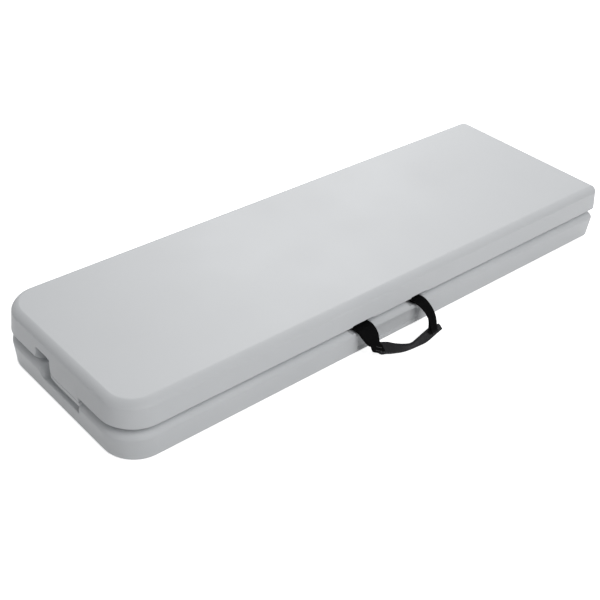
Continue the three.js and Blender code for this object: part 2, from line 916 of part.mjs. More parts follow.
function carryHandle() {
  const gap = seatedGap / loopCurve.getLength();
  const group = new THREE.Group();
  group.add(piece('handle_strap_left', loopStretch(0, gripStartShare - gap, strapSection), 'webbing'));
  const grip = () => flatSection(gripWidth, gripThickness);
  group.add(piece('handle_grip', loopStretch(gripStartShare, gripEndShare, grip), 'grip'));
  group.add(piece('handle_strap_right', loopStretch(gripEndShare + gap, 1, strapSection), 'webbing'));
  strapX.forEach((x, i) => {
    const label = ['left', 'right'][i];
    group.add(piece(`handle_tail_${label}`, strapTail(x), 'webbing'));
    group.add(piece(`handle_retainer_${label}`, retainerPlate(x), 'zinc'));
  });
  return group;
}

// The closed bench: the upper half is the lower one turned over about the seam line
const bench = new THREE.Group();
const lower = benchHalf('lower', 1);
const upper = benchHalf('upper', -1);
upper.rotation.x = Math.PI;
upper.position.z = halfHeight * 2;
bench.add(lower, upper, carryHandle());

export default bench;
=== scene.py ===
import math

import bmesh
import bpy
import numpy as np
from mathutils import Matrix, Vector
from mathutils.geometry import delaunay_2d_cdt


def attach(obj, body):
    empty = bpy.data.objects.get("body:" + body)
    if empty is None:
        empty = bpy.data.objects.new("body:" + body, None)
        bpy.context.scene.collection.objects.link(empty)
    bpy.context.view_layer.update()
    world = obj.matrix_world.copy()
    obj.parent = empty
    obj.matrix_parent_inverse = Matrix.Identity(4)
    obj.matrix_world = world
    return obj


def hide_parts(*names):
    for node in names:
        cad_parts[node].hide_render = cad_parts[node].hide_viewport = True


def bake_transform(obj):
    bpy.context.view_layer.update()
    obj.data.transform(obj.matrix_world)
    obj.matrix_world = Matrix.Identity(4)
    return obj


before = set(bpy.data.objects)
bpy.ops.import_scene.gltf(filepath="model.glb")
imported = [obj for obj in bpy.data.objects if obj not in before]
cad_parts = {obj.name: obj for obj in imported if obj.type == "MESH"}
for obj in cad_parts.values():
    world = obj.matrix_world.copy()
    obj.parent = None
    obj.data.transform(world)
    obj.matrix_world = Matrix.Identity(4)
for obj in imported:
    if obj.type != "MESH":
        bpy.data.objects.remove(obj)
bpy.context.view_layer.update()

# Camera. It stands off the outer end on the handle side and looks down on the closed bench, as
# in the photograph. Its place comes from fitting the outline of the two halves.
camera_azimuth = math.radians(-42.8975)
camera_elevation = math.radians(35.1527)
camera_roll = math.radians(3.4997)
camera_distance = 1.55557
camera_target = Vector((-0.079778, -0.030922, 0.028796))

looking_back = Vector((
    math.sin(camera_azimuth) * math.cos(camera_elevation),
    -math.cos(camera_azimuth) * math.cos(camera_elevation),
    math.sin(camera_elevation),
))
level_right = Vector((0, 0, 1)).cross(looking_back).normalized()
level_up = looking_back.cross(level_right)
camera_right = level_right * math.cos(camera_roll) + level_up * math.sin(camera_roll)
camera_up = looking_back.cross(camera_right)
camera_place = Matrix((camera_right, camera_up, looking_back)).transposed().to_4x4()
camera_place.translation = camera_target + looking_back * camera_distance

photo_lens = bpy.data.cameras.new("photo_lens")
photo_lens.sensor_width = 36
photo_lens.lens = 64.973
photo_lens.clip_start = 0.02
photo_lens.clip_end = 40


def linked(name, data):
    """A new object in the scene that holds the data."""
    thing = bpy.data.objects.new(name, data)
    bpy.context.scene.collection.objects.link(thing)
    return thing


photo_camera = linked("photo_camera", photo_lens)
photo_camera.matrix_world = camera_place
bpy.context.scene.camera = photo_camera
bpy.context.scene.view_settings.view_transform = "Standard"

# Studio floor. A pale sweep that the bench lies on. To the camera it is lifted to white, and it
# keeps the soft shadow under the bench.
def feed(tree, node, values):
    """Gives a node's inputs plain values, or links them to other sockets."""
    for key, value in values.items():
        if isinstance(value, bpy.types.NodeSocket):
            tree.links.new(value, node.inputs[key])
        else:
            node.inputs[key].default_value = value


def add_node(tree, kind, values=None, **settings):
    """A new node with its settings made first and its inputs fed after them."""
    node = tree.nodes.new(kind)
    for key, value in settings.items():
        setattr(node, key, value)
    feed(tree, node, values or {})
    return node


def new_material(name):
    """A node material with its tree and its Principled shader."""
    material = bpy.data.materials.new(name)
    material.use_nodes = True
    tree = material.node_tree
    return material, tree, tree.nodes["Principled BSDF"]


def seen_directly(tree):
    """One for what the camera sees straight, in a reflection or through glass."""
    path = tree.nodes.new("ShaderNodeLightPath")
    most = path.outputs["Is Camera Ray"]
    for ray in ("Is Glossy Ray", "Is Transmission Ray"):
        larger = add_node(tree, "ShaderNodeMath", {0: most, 1: path.outputs[ray]}, operation="MAXIMUM")
        most = larger.outputs[0]
    return most


floor_half = 9.0
floor_drop = 0.0006
floor_lift = 0.78

floor_mesh = bpy.data.meshes.new("studio_floor")
floor_mesh.from_pydata(
    [(x * floor_half, y * floor_half, -floor_drop) for x, y in ((-1, -1), (1, -1), (1, 1), (-1, 1))],
    [], [(0, 1, 2, 3)],
)
studio_floor = linked("studio_floor", floor_mesh)
floor_paper, tree, floor_shader = new_material("floor_paper")
feed(tree, floor_shader, {"Base Color": (0.86, 0.86, 0.86, 1), "Roughness": 0.95, "Specular IOR Level": 0.0})
scaled = add_node(tree, "ShaderNodeMath", {0: seen_directly(tree), 1: floor_lift}, operation="MULTIPLY")
lift = add_node(tree, "ShaderNodeEmission", {"Strength": scaled.outputs[0]})
both = add_node(tree, "ShaderNodeAddShader", {0: floor_shader.outputs[0], 1: lift.outputs[0]})
feed(tree, tree.nodes["Material Output"], {"Surface": both.outputs[0]})
floor_mesh.materials.append(floor_paper)

# Studio light. One wide soft box stands behind the bench at its hinge end and a second one above
# the handle side, and a pale dome fills the rest.
def soft_box(name, place, width, power):
    """A square lamp aimed at the middle of the floor."""
    lamp = bpy.data.lights.new(name, "AREA")
    lamp.shape = "SQUARE"
    lamp.size = width
    lamp.energy = power
    holder = linked(name, lamp)
    holder.rotation_mode = "QUATERNION"
    holder.rotation_quaternion = (-Vector(place)).to_track_quat("-Z", "Y")
    holder.location = place


soft_box("back_box", (1.7, 2.0, 2.0), 1.6, 56)
soft_box("handle_side_box", (-0.25, -2.0, 2.0), 1.6, 36)

studio_world = bpy.data.worlds.new("studio_world")
studio_world.use_nodes = True
bpy.context.scene.world = studio_world
tree = studio_world.node_tree
dome = tree.nodes["Background"]
feed(tree, dome, {"Color": (0.985, 0.99, 1.0, 1), "Strength": 0.275})
white = add_node(tree, "ShaderNodeBackground", {"Color": (1, 1, 1, 1), "Strength": 1.0})
choose = add_node(tree, "ShaderNodeMixShader",
                  {"Fac": seen_directly(tree), 1: dome.outputs[0], 2: white.outputs[0]})
feed(tree, tree.nodes["World Output"], {"Surface": choose.outputs[0]})

# Seat panels. Two blow-moulded polyethylene halves, light grey with a faint leather grain, each
# a shallow tray: a flat seat skin, drafted walls with a rounded rim, and tack-offs on the deck.
MILLI = 0.001
half_length, bench_width, case_height = 915.0, 300.0, 90.0
rim_height = 44.7
wall_draft, seat_edge_down = 2.7, 7.5
# The seat edge on each side: how far it reaches in, how far down, and how round it is
small_edge = (4.5, 4.5, 1.0)
seat_edges = {
    "lower": {"front": (8.0, 6.5, 1.0), "outer": (8.0, 6.5, 1.0), "rear": (7.0, 7.0, 1.0),
              "hinge": small_edge},
    "upper": {"front": (7.0, 7.0, 1.0), "outer": (12.0, 7.5, 0.6), "rear": (13.5, 7.5, 0.6),
              "hinge": small_edge},
}
rim_slope_across = 12.6
rim_slope_downs = {"lower": 9.0, "upper": 10.0}
rim_slope_curves = {"lower": 0.85, "upper": 0.2}
outer_corner_radius, hinge_corner_radius = 50.0, 14.0
deck_height, cavity_half_width = 16.0, 136.0
cavity_outer_x, cavity_hinge_x, cavity_draft = -431.5, 432.0, 1.0
cavity_outer_radius, cavity_hinge_radius = 26.0, 1.2
rim_lip_radius, deck_fillet = 2.0, 2.5
notch_floors = {"lower": 27.7, "upper": 21.2}
notch_half_width, notch_pocket_width, notch_pocket_slope = 50.0, 26.0, 13.0
# The depth of the notch in its pocket, at the foot of its back and at the seam
notch_depths = {"lower": (15.0, 8.5, 1.6), "upper": (18.0, 0.3, 1.6)}
# How far in the round end of the lower notch starts at the seam, how much further in at its floor,
# and how soft it is
notch_end_start, notch_end_reach, notch_end_softness = 6.5, 13.0, 6.0
recess_x, recess_z = (-75.0, 46.0), (6.0, 34.0)
recess_depth, recess_corner, recess_slope = 6.5, 7.0, 2.2
strap_centres = (-67.5, 41.5)
# The middle and the half width of the dip in the rim for each strap
strap_notches = ((-69.5, 20.0), (39.0, 15.4))
strap_notch_floor, strap_notch_softness, strap_lift = 40.1, 2.4, 1.9
slot_band, slot_floor = (117.3, 134.7), 17.0
tack_rows, tack_first, tack_pitch, tack_count = (-58.0, 0.0, 58.0), -311.0, 70.0, 11
# A tack-off cone from the deck down, as radius and depth
tack_profile = ((12.9, 0.0), (12.2, 0.15), (11.6, 0.7), (8.6, 7.1), (8.1, 7.7), (7.2, 8.0))
tack_sides = 24


def eased(share):
    """A share held to 0..1 that starts and ends gently."""
    share = min(max(share, 0.0), 1.0)
    return share * share * (3 - 2 * share)


def quarter(steps):
    """Angles from nothing to a right angle."""
    return [math.radians(90 * i / steps) for i in range(steps + 1)]


def round_angles(count):
    """Evenly spread angles, once round."""
    return [2 * math.pi * i / count for i in range(count)]


def panel_columns():
    """The stations round the panel, anticlockwise from above: for each, where the outer and the
    inner outline stand, which side it is on, and its place along that side."""
    half_x, half_y = half_length / 2, bench_width / 2
    big, small = outer_corner_radius, hinge_corner_radius
    columns = []

    def along(values, low, high, spread):
        """Evenly filled values from low to high with extra ones kept."""
        marks = sorted({low, high, *[v for v in values if low < v < high]})
        out = [marks[0]]
        for a, b in zip(marks, marks[1:]):
            steps = max(1, math.ceil((b - a) / spread))
            out += [a + (b - a) * i / steps for i in range(1, steps + 1)]
        return out

    def near(edge, inward):
        """Close stations on both sides of an edge."""
        return [edge + inward * d for d in (-1.4, -0.7, 0, 0.6, 1.2, 1.9, 2.7, 3.6, 4.7, 6.0, 7.6, 9.4)]

    def corner(between, centre, radius, inner_centre, inner_radius, start, steps):
        """The stations round a corner. The inner outline shrinks towards its own corner's inside."""
        for i in range(steps + 1):
            turn = math.radians(start + 90 * i / steps)
            outwards = Vector((math.cos(turn), math.sin(turn)))
            columns.append({
                "side": "corner", "at": 0.0, "between": (*between, i / steps), "dip": None,
                "outer": (Vector(centre), outwards, radius),
                "inner": (Vector(inner_centre), outwards * inner_radius,
                          Vector((-math.copysign(1, centre[0]), -math.copysign(1, centre[1])))),
            })

    def straight(side, normal, values, reach, inner_reach, axis, inner_limits):
        """The stations along a side, whose inner outline is shorter than the outer one."""
        for v in values:
            inner_v = min(max(v, inner_limits[0]), inner_limits[1])
            base = Vector((v, 0)) if axis == 0 else Vector((0, v))
            inner_base = Vector((inner_v, 0)) if axis == 0 else Vector((0, inner_v))
            normal_vector = Vector(normal)
            columns.append({
                "side": side, "at": v, "between": (side, side, 0.0), "dip": None,
                "outer": (base, normal_vector, reach),
                "inner": (inner_base, normal_vector * inner_reach, -normal_vector),
            })

    front_marks = near(recess_x[0], 1) + near(recess_x[1], -1)
    for centre, reach in strap_notches:
        for edge, inward in ((centre - reach, 1), (centre + reach, -1)):
            front_marks += [edge + inward * d for d in (-2.4, -1.8, -1.2, -0.6, 0, 0.6, 1.2, 1.8, 2.4)]
    long_spacing, hinge_spacing, end_spacing = 26, 24, 14
    big_steps, small_steps = 20, 10
    inner_x0, inner_x1 = cavity_outer_x + cavity_outer_radius, cavity_hinge_x - cavity_hinge_radius
    inner_y = cavity_half_width - cavity_outer_radius
    hinge_y = cavity_half_width - cavity_hinge_radius
    long_limits = (inner_x0, inner_x1 - 4)
    long_side = along(front_marks, -half_x + big, half_x - small, long_spacing)
    corner(("outer", "front"), (-half_x + big, -half_y + big), big,
           (inner_x0, -inner_y), cavity_outer_radius, 180, big_steps)
    straight("front", (0, -1), long_side[1:-1], half_y, cavity_half_width, 0, long_limits)
    corner(("front", "hinge"), (half_x - small, -half_y + small), small,
           (inner_x1, -hinge_y), cavity_hinge_radius, 270, small_steps)
    hinge_marks = [s * v for s in (-1, 1) for v in slot_band]
    doubled = []
    for v in along(hinge_marks, -half_y + small, half_y - small, hinge_spacing)[1:-1]:
        edge = any(abs(abs(v) - mark) < 1e-6 for mark in slot_band)
        doubled += [v, v] if edge else [v]
    before = len(columns)
    straight("hinge", (1, 0), doubled, half_x, cavity_hinge_x, 1, (-hinge_y, hinge_y))
    # Between two doubled stations the rim dips to let a hinge lug through
    inside = False
    for column, following in zip(columns[before:], [*columns[before + 1:], None]):
        if inside:
            column["dip"] = slot_floor
        if following and abs(following["at"] - column["at"]) < 1e-9:
            inside = not inside
    corner(("hinge", "rear"), (half_x - small, half_y - small), small,
           (inner_x1, hinge_y), cavity_hinge_radius, 0, small_steps)
    straight("rear", (0, 1), long_side[::-1][1:-1], half_y, cavity_half_width, 0, long_limits)
    corner(("rear", "outer"), (-half_x + big, half_y - big), big,
           (inner_x0, inner_y), cavity_outer_radius, 90, big_steps)
    end_marks = [s * (notch_half_width - d) for s in (-1, 1) for d in (-0.8, -0.4, 0, 0.4, 0.8)]
    end_marks += [s * (notch_half_width - 1.5 * i) for s in (-1, 1) for i in range(-2, 21)]
    end = along(end_marks, -half_y + big, half_y - big, end_spacing)[::-1]
    straight("outer", (-1, 0), end[1:-1], half_x, -cavity_outer_x, 1, (-inner_y, inner_y))
    return columns


def part_round(turn, roundness):
    """A quarter turn between a straight bevel, 0, and a round, 1: shares across and down."""
    bevel = (math.sin(turn) + 1 - math.cos(turn)) / 2
    return (roundness * math.sin(turn) + (1 - roundness) * bevel,
            roundness * (1 - math.cos(turn)) + (1 - roundness) * bevel)


def seat_edge(half, side, turn):
    """The inset and the drop of the seat edge on one side of the panel."""
    reach, down, roundness = seat_edges[half][side]
    across, drop = part_round(turn, roundness)
    return wall_draft + reach * (1 - across), down * drop


def panel_rings(half):
    """The rings from the seat face round the rim to the deck, and the wall's inset at a height. A
    ring holds a turn of the seat edge, an inset, a share across the rim or a draft of the cavity."""
    notch_floor = notch_floors[half]
    edge_steps, rim_steps, lip_steps, fillet_steps, lift_start = 12, 12, 4, 4, 25.0
    rings = [{"turn": 0.0, "z": 0.0, "more": 0.4}]
    rings += [{"turn": turn, "z": 0.0} for turn in quarter(edge_steps)]
    wall_top = rim_height - rim_slope_downs[half]

    def wall(z):
        return wall_draft * (wall_top - z) / (wall_top - seat_edge_down)

    # Round the notch's floor: the height from it, how far into the notch, and the height in there
    ledge = [(-1.6, 0.0, -1.6), (-1.0, 0.04, -0.7), (-0.5, 0.11, -0.2), (0.0, 0.25, 0.0), (0.5, 0.54, 0.0),
             (1.0, 0.78, 0.0), (1.6, 0.93, 0.2), (2.3, 0.99, 1.2), (3.0, 1.0, 3.0)]
    levels = [(notch_floor + z, share, notch_floor + notch_z) for z, share, notch_z in ledge]
    for z in (8.4, 9.4, 10.6, 12.2, 14.0, 16.9, 19.0, 20.4, 23.0, 25.0, 27.0, 29.0,
              31.4, 32.1, 32.8, 33.5, 34.2, 34.9):
        if abs(z - notch_floor - 0.7) > 3.0:
            levels.append((z, 1.0 if z > notch_floor else 0.0, z))
    for z, share, notch_z in sorted(levels):
        lift = max(z - lift_start, 0.0) / (wall_top - lift_start)
        rings.append({"inset": wall(z), "z": z, "ledge": share, "notch_z": notch_z, "lift": lift})
    for i, turn in enumerate(quarter(rim_steps)):
        rise, across = part_round(turn, rim_slope_curves[half])
        z = wall_top + rim_slope_downs[half] * rise
        rings.append({"inset": rim_slope_across * across, "z": z, "ledge": 1.0, "notch_z": z,
                      "lift": 1 - i / rim_steps})
    rings += [{"across": share, "z": rim_height} for share in (0.3, 0.7)]
    for turn in quarter(lip_steps):
        rings.append({"draft": -rim_lip_radius * (1 - math.sin(turn)),
                      "z": rim_height - rim_lip_radius * (1 - math.cos(turn))})
    for z in (38.0, 34.0, 29.0, 24.0, 18.5):
        rings.append({"draft": cavity_draft * (rim_height - z) / (rim_height - deck_height), "z": z})
    for turn in quarter(fillet_steps)[1:]:
        rings.append({"draft": cavity_draft + deck_fillet * (1 - math.cos(turn)),
                      "z": deck_height + deck_fillet * (1 - math.sin(turn))})
    return rings, wall


def notch_at(half, y, z):
    """The notch at a place on the end wall: how much of it is there and how deep it lies. Beside
    its far end is a pocket, and from there its back comes out nearly flush with the wall."""
    along = notch_half_width - y if half == "lower" else notch_half_width + y
    up = min(max((z - notch_floors[half]) / (rim_height - notch_floors[half]), 0.0), 1.0)
    deep, foot, top = notch_depths[half]
    if half == "lower":
        start = notch_end_start + notch_end_reach * (1 - math.sqrt(1 - (1 - up) ** 2))
        softness, back = notch_end_softness, top + (foot - top) * (1 - up) ** 2
    else:
        start, softness, back = 0.0, 1.2, foot + (top - foot) * up
    there = eased((along - start) / softness + 0.5) * eased((2 * notch_half_width - along) / 1.6 + 0.5)
    pocket = 1 - eased((along - notch_pocket_width) / notch_pocket_slope + 0.5)
    return there, back + (deep - back) * pocket


def recess_share(x, z):
    """How far a point of the front wall lies inside the shallow handle recess, from 0 to 1."""
    centre_x, centre_z = sum(recess_x) / 2, sum(recess_z) / 2
    reach_x = (recess_x[1] - recess_x[0]) / 2 - recess_corner
    reach_z = (recess_z[1] - recess_z[0]) / 2 - recess_corner
    dx, dz = abs(x - centre_x) - reach_x, abs(z - centre_z) - reach_z
    outside = math.hypot(max(dx, 0), max(dz, 0)) + min(max(dx, dz), 0) - recess_corner
    return eased(-outside / recess_slope)


def filled(outer, holes):
    """Triangles over a flat outline with holes, as indices into outer + holes, facing up."""
    flat, loops = [], []
    for loop in (outer, *holes):
        numbers = list(range(len(flat), len(flat) + len(loop)))
        area = sum(a[0] * b[1] - b[0] * a[1] for a, b in zip(loop, [*loop[1:], loop[0]]))
        loops.append(numbers if area > 0 else numbers[::-1])
        flat += loop
    edges = [pair for loop in loops for pair in zip(loop, [*loop[1:], loop[0]])]
    spots, _, made, sources, _, regions = delaunay_2d_cdt(
        [Vector(p) for p in flat], edges, loops, 1, 1e-6, True)
    triangles = []
    for face, region in zip(made, regions):
        if list(region) == [0]:
            a, b, c = (spots[i] for i in face)
            turned = (b - a).x * (c - a).y - (b - a).y * (c - a).x
            triangles.append(tuple(sources[i][0] for i in (face if turned > 0 else reversed(face))))
    return triangles


def in_metres(points, faces):
    """A mesh in metres from points in millimetres."""
    mesh = bpy.data.meshes.new("piece")
    mesh.from_pydata([tuple(c * MILLI for c in p) for p in points], [], faces)
    return mesh


def skin(start, count, rings):
    """Quads between rings of equal numbers of points, the first of which has the number given."""
    faces = []
    for low in range(start, start + (rings - 1) * count, count):
        high = low + count
        faces += [(low + i, low + (i + 1) % count, high + (i + 1) % count, high + i) for i in range(count)]
    return faces


def panel_mesh(half):
    """A tray skinned over rings of stations, whose deck is filled in round its tack-offs."""
    columns = panel_columns()
    rings, wall = panel_rings(half)
    has_handle = half == "lower"
    mesh_points = []

    def outer_at(column, inset, hinge_inset):
        """On the outer outline, drawn in. The hinge end has its own inset, and the two small
        corners beside it run from one inset to the other."""
        base, normal, reach = column["outer"]
        small_x = max(hinge_corner_radius - hinge_inset, 0.3)
        small_y = max(hinge_corner_radius - inset, 0.3)
        limit = bench_width / 2 - inset - small_y
        if column["side"] == "hinge":
            return Vector((half_length / 2 - hinge_inset, min(max(base.y, -limit), limit)))
        if column["side"] == "corner" and base.x > 0:
            return Vector((half_length / 2 - hinge_inset - small_x * (1 - normal.x),
                           math.copysign(limit, base.y) + small_y * normal.y))
        return base + normal * (reach - inset)

    def inner_at(column, draft):
        """On the inner outline, drawn in by the draft of the cavity's wall."""
        base, offset, shift = column["inner"]
        place = base + offset + shift * draft
        if column["side"] == "hinge":
            limit = cavity_half_width - cavity_hinge_radius - draft
            place.y = min(max(place.y, -limit), limit)
        return place

    over_slot = [k for k, ring in enumerate(rings) if ring["z"] > slot_floor]
    first_over, last_over = over_slot[0], over_slot[-1]
    for k, ring in enumerate(rings):
        for column in columns:
            z = ring["z"]
            there, depth = notch_at(half, column["at"], z) if column["side"] == "outer" else (0.0, 0.0)
            z += (ring.get("notch_z", z) - z) * there
            if column["dip"] is not None and first_over <= k <= last_over:
                share = (k - first_over) / (last_over - first_over)
                drafted = cavity_draft * (rim_height - column["dip"]) / (rim_height - deck_height)
                edge = wall(column["dip"])
                place = outer_at(column, edge, edge).lerp(inner_at(column, drafted), share)
                z = column["dip"]
            elif "turn" in ring:
                first, second, share = column["between"]
                if (first, second) == ("hinge", "hinge"):
                    beside = "front" if column["at"] < 0 else "rear"
                    first, second, share = (beside, "hinge", 1.0)
                insets = {side: seat_edge(half, side, ring["turn"]) for side in (first, second, "hinge")}
                z = insets[first][1] + (insets[second][1] - insets[first][1]) * eased(share)
                if "hinge" in (first, second):
                    inset = insets[first if second == "hinge" else second][0]
                else:
                    inset = insets[first][0] + (insets[second][0] - insets[first][0]) * eased(share)
                if has_handle and column["side"] == "front":
                    inset += (recess_depth - inset) * recess_share(column["at"], z)
                more = ring.get("more", 0.0)
                place = outer_at(column, inset + more, insets["hinge"][0] + more)
            elif "inset" in ring:
                inset = ring["inset"]
                if has_handle and column["side"] == "front":
                    inset += (recess_depth - inset) * recess_share(column["at"], ring["z"])
                inset += (max(wall(z), 0.0) + depth * ring["ledge"] - inset) * there
                place = outer_at(column, inset, inset)
            elif "across" in ring:
                edge = rim_slope_across + (depth - rim_slope_across) * there
                place = outer_at(column, edge, edge).lerp(inner_at(column, -rim_lip_radius), ring["across"])
            else:
                place = inner_at(column, ring["draft"])
            if column["side"] == ("front" if has_handle else "rear"):
                for centre, reach in strap_notches:
                    inside = reach - abs(column["at"] - centre) + strap_notch_softness
                    over_strap = eased(inside / (2 * strap_notch_softness))
                    if has_handle:
                        z = min(z, rim_height - (rim_height - strap_notch_floor) * over_strap)
                    else:
                        z -= strap_lift * over_strap * ring.get("lift", 0.0)
            mesh_points.append((place.x, place.y, z))
    count = len(columns)
    faces = [*skin(0, count, len(rings)), tuple(reversed(range(count)))]

    # The deck, with a cone-shaped tack-off at each station
    last = (len(rings) - 1) * count
    outline, kept, circles = [], [], []
    for j in range(count):
        x, y, _ = mesh_points[last + j]
        if not outline or math.hypot(x - outline[-1][0], y - outline[-1][1]) > 0.02:
            outline.append((x, y))
            kept.append(last + j)
    for i in range(tack_count):
        for row in tack_rows:
            start = len(mesh_points)
            for radius, depth in tack_profile:
                mesh_points += [(tack_first + i * tack_pitch + radius * math.cos(turn),
                                 row + radius * math.sin(turn), deck_height - depth)
                                for turn in round_angles(tack_sides)]
            faces += skin(start, tack_sides, len(tack_profile))
            bottom = start + (len(tack_profile) - 1) * tack_sides
            faces.append(tuple(range(bottom, bottom + tack_sides)))
            circles.append([point[:2] for point in mesh_points[start:start + tack_sides]])
            kept += range(start, start + tack_sides)
    faces += [tuple(kept[i] for i in triangle) for triangle in filled(outline, circles)]
    mesh = in_metres(mesh_points, faces)
    shaped = bmesh.new()
    shaped.from_mesh(mesh)
    bmesh.ops.remove_doubles(shaped, verts=shaped.verts, dist=0.01 * MILLI)
    bmesh.ops.dissolve_degenerate(shaped, edges=shaped.edges, dist=0.002 * MILLI)
    shaped.to_mesh(mesh)
    shaped.free()
    return mesh


def shaded(mesh, sharp=32):
    """Smooth shading, with the edges past an angle in degrees kept sharp."""
    mesh.shade_smooth()
    mesh.set_sharp_from_angle(angle=math.radians(sharp))
    return mesh


def as_piece(name, mesh, finish=None, half="lower", sharp=32):
    """Links the mesh as a piece. The upper half is the lower one turned over about the seam."""
    mesh.name = name
    if half == "upper":
        turn = Matrix.Rotation(math.pi, 4, "X")
        turn.translation = (0, 0, case_height * MILLI)
        mesh.transform(turn)
    if finish:
        mesh.materials.append(finish)
    return linked(name, shaded(mesh, sharp))


def effect_group(name, inputs, outputs):
    """An empty shader node group with named number inputs and outputs."""
    group = bpy.data.node_groups.new(name, "ShaderNodeTree")
    for label, value in inputs:
        socket = group.interface.new_socket(label, in_out="INPUT", socket_type="NodeSocketFloat")
        socket.default_value = value
    for label in outputs:
        group.interface.new_socket(label, in_out="OUTPUT", socket_type="NodeSocketFloat")
    return group, group.nodes.new("NodeGroupInput"), group.nodes.new("NodeGroupOutput")


def moulded_grain():
    """Fine pebble grain with a slow unevenness: a height for Bump and a mask for colour."""
    group, given, out = effect_group(
        "moulded_grain", [("Pebble Scale", 900.0), ("Cloud Scale", 9.0)], ("Height", "Cloud"))
    place = group.nodes.new("ShaderNodeTexCoord")

    def texture(kind, size, values, **settings):
        values = {**values, "Vector": place.outputs["Object"], "Scale": given.outputs[size]}
        return add_node(group, kind, values, **settings)

    pebble = texture("ShaderNodeTexVoronoi", "Pebble Scale", {"Smoothness": 0.6}, feature="SMOOTH_F1")
    speck = texture("ShaderNodeTexNoise", "Pebble Scale", {"Detail": 4.0})
    cloud = texture("ShaderNodeTexNoise", "Cloud Scale", {"Detail": 3.0})
    terms = {0: speck.outputs["Fac"], 1: 0.5, 2: pebble.outputs["Distance"]}
    mixed = add_node(group, "ShaderNodeMath", terms, operation="MULTIPLY_ADD")
    feed(group, out, {"Height": mixed.outputs[0], "Cloud": cloud.outputs["Fac"]})
    return group


grain_group = moulded_grain()


def two_tone(tree, mask, low, high):
    """A colour that moves between two tones with a mask."""
    ramp = add_node(tree, "ShaderNodeValToRGB", {"Fac": mask})
    for element, position, tone in zip(ramp.color_ramp.elements, (0.35, 0.65), (low, high)):
        element.position = position
        element.color = (*tone, 1)
    return ramp.outputs["Color"]


def bumped(tree, height, strength, distance):
    """A normal that follows a height."""
    bump = add_node(tree, "ShaderNodeBump", {"Strength": strength, "Distance": distance, "Height": height})
    return bump.outputs["Normal"]


def ranged(tree, value, low, high):
    """A noise value, which mostly lies in 0.3..0.7, moved to low..high."""
    values = {"Value": value, "From Min": 0.3, "From Max": 0.7, "To Min": low, "To Max": high}
    return add_node(tree, "ShaderNodeMapRange", values).outputs["Result"]


def grained(name, low, high, pebble, cloud, roughness, strength, distance, plain=None):
    """A grained finish: two close tones, roughness that drifts with them, a fine bump, and plain
    values for other sockets of the shader."""
    material, tree, shader = new_material(name)
    grain = add_node(tree, "ShaderNodeGroup", {"Pebble Scale": pebble, "Cloud Scale": cloud},
                     node_tree=grain_group)
    feed(tree, shader, {
        "Base Color": two_tone(tree, grain.outputs["Cloud"], low, high),
        "Roughness": ranged(tree, grain.outputs["Cloud"], *roughness),
        "Normal": bumped(tree, grain.outputs["Height"], strength, distance),
        **(plain or {}),
    })
    return material


panel_plastic = grained(
    "panel_plastic", (0.560, 0.575, 0.590), (0.585, 0.598, 0.612), 1100.0, 7.0, (0.46, 0.54), 0.10, 0.0003,
    {"Specular IOR Level": 0.42})

for half in ("lower", "upper"):
    panel = as_piece(f"{half}_panel_moulding", panel_mesh(half), panel_plastic, half)
    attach(panel, f"{half}_half")
    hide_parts(f"{half}_seat_panel")

# Side rails. Two steel box sections in each half, grey powder coat, screwed down on the deck
# along both long walls.
contact_gap = 0.3
deck_top = deck_height + contact_gap
rail_outer_y, rail_width, rail_height, rail_wall, rail_corner = 134.2, 16.0, 20.0, 1.5, 2.2
rail_edge, rail_soft_corner, rail_inner_corner = 0.35, 1.9, 1.0
rail_x = (-403.5, 430.0)
rail_screws_x = (-385.0, -255.0, -125.0, 5.0, 135.0, 265.0, 395.0)


def place_of(half, side):
    """Front is the handle side, which is -Y in the lower half and +Y in the turned one."""
    return "front" if (side < 0) == (half == "lower") else "rear"


def mesh_of(points, faces):
    """A closed mesh in metres from points in millimetres, with its faces pointing out."""
    mesh = in_metres(points, faces)
    shaped = bmesh.new()
    shaped.from_mesh(mesh)
    bmesh.ops.remove_doubles(shaped, verts=shaped.verts, dist=0.002 * MILLI)
    bmesh.ops.recalc_face_normals(shaped, faces=shaped.faces)
    shaped.to_mesh(mesh)
    shaped.free()
    return mesh


def loft(rings, loop=False):
    """A skin over rings with equal numbers of points: capped at both ends, or closed on itself."""
    count, last = len(rings[0]), (len(rings) - 1) * len(rings[0])
    points, faces = [p for ring in rings for p in ring], skin(0, count, len(rings))
    if loop:
        faces += [(last + i, last + (i + 1) % count, (i + 1) % count, i) for i in range(count)]
    else:
        faces += [tuple(range(count)), tuple(range(last, last + count))]
    return points, faces


def joined(*parts):
    """Several point and face lists as one."""
    points, faces = [], []
    for more_points, more_faces in parts:
        shift = len(points)
        points += more_points
        faces += [tuple(i + shift for i in face) for face in more_faces]
    return points, faces


def rounded_box(width, height, corner, steps=5):
    """A rounded rectangle about the origin, anticlockwise."""
    out = []
    for which, (sx, sy) in enumerate(((1, 1), (-1, 1), (-1, -1), (1, -1))):
        for i in range(steps + 1):
            turn = math.radians(90 * (which + i / steps))
            out.append((sx * (width / 2 - corner) + corner * math.cos(turn),
                        sy * (height / 2 - corner) + corner * math.sin(turn)))
    return out


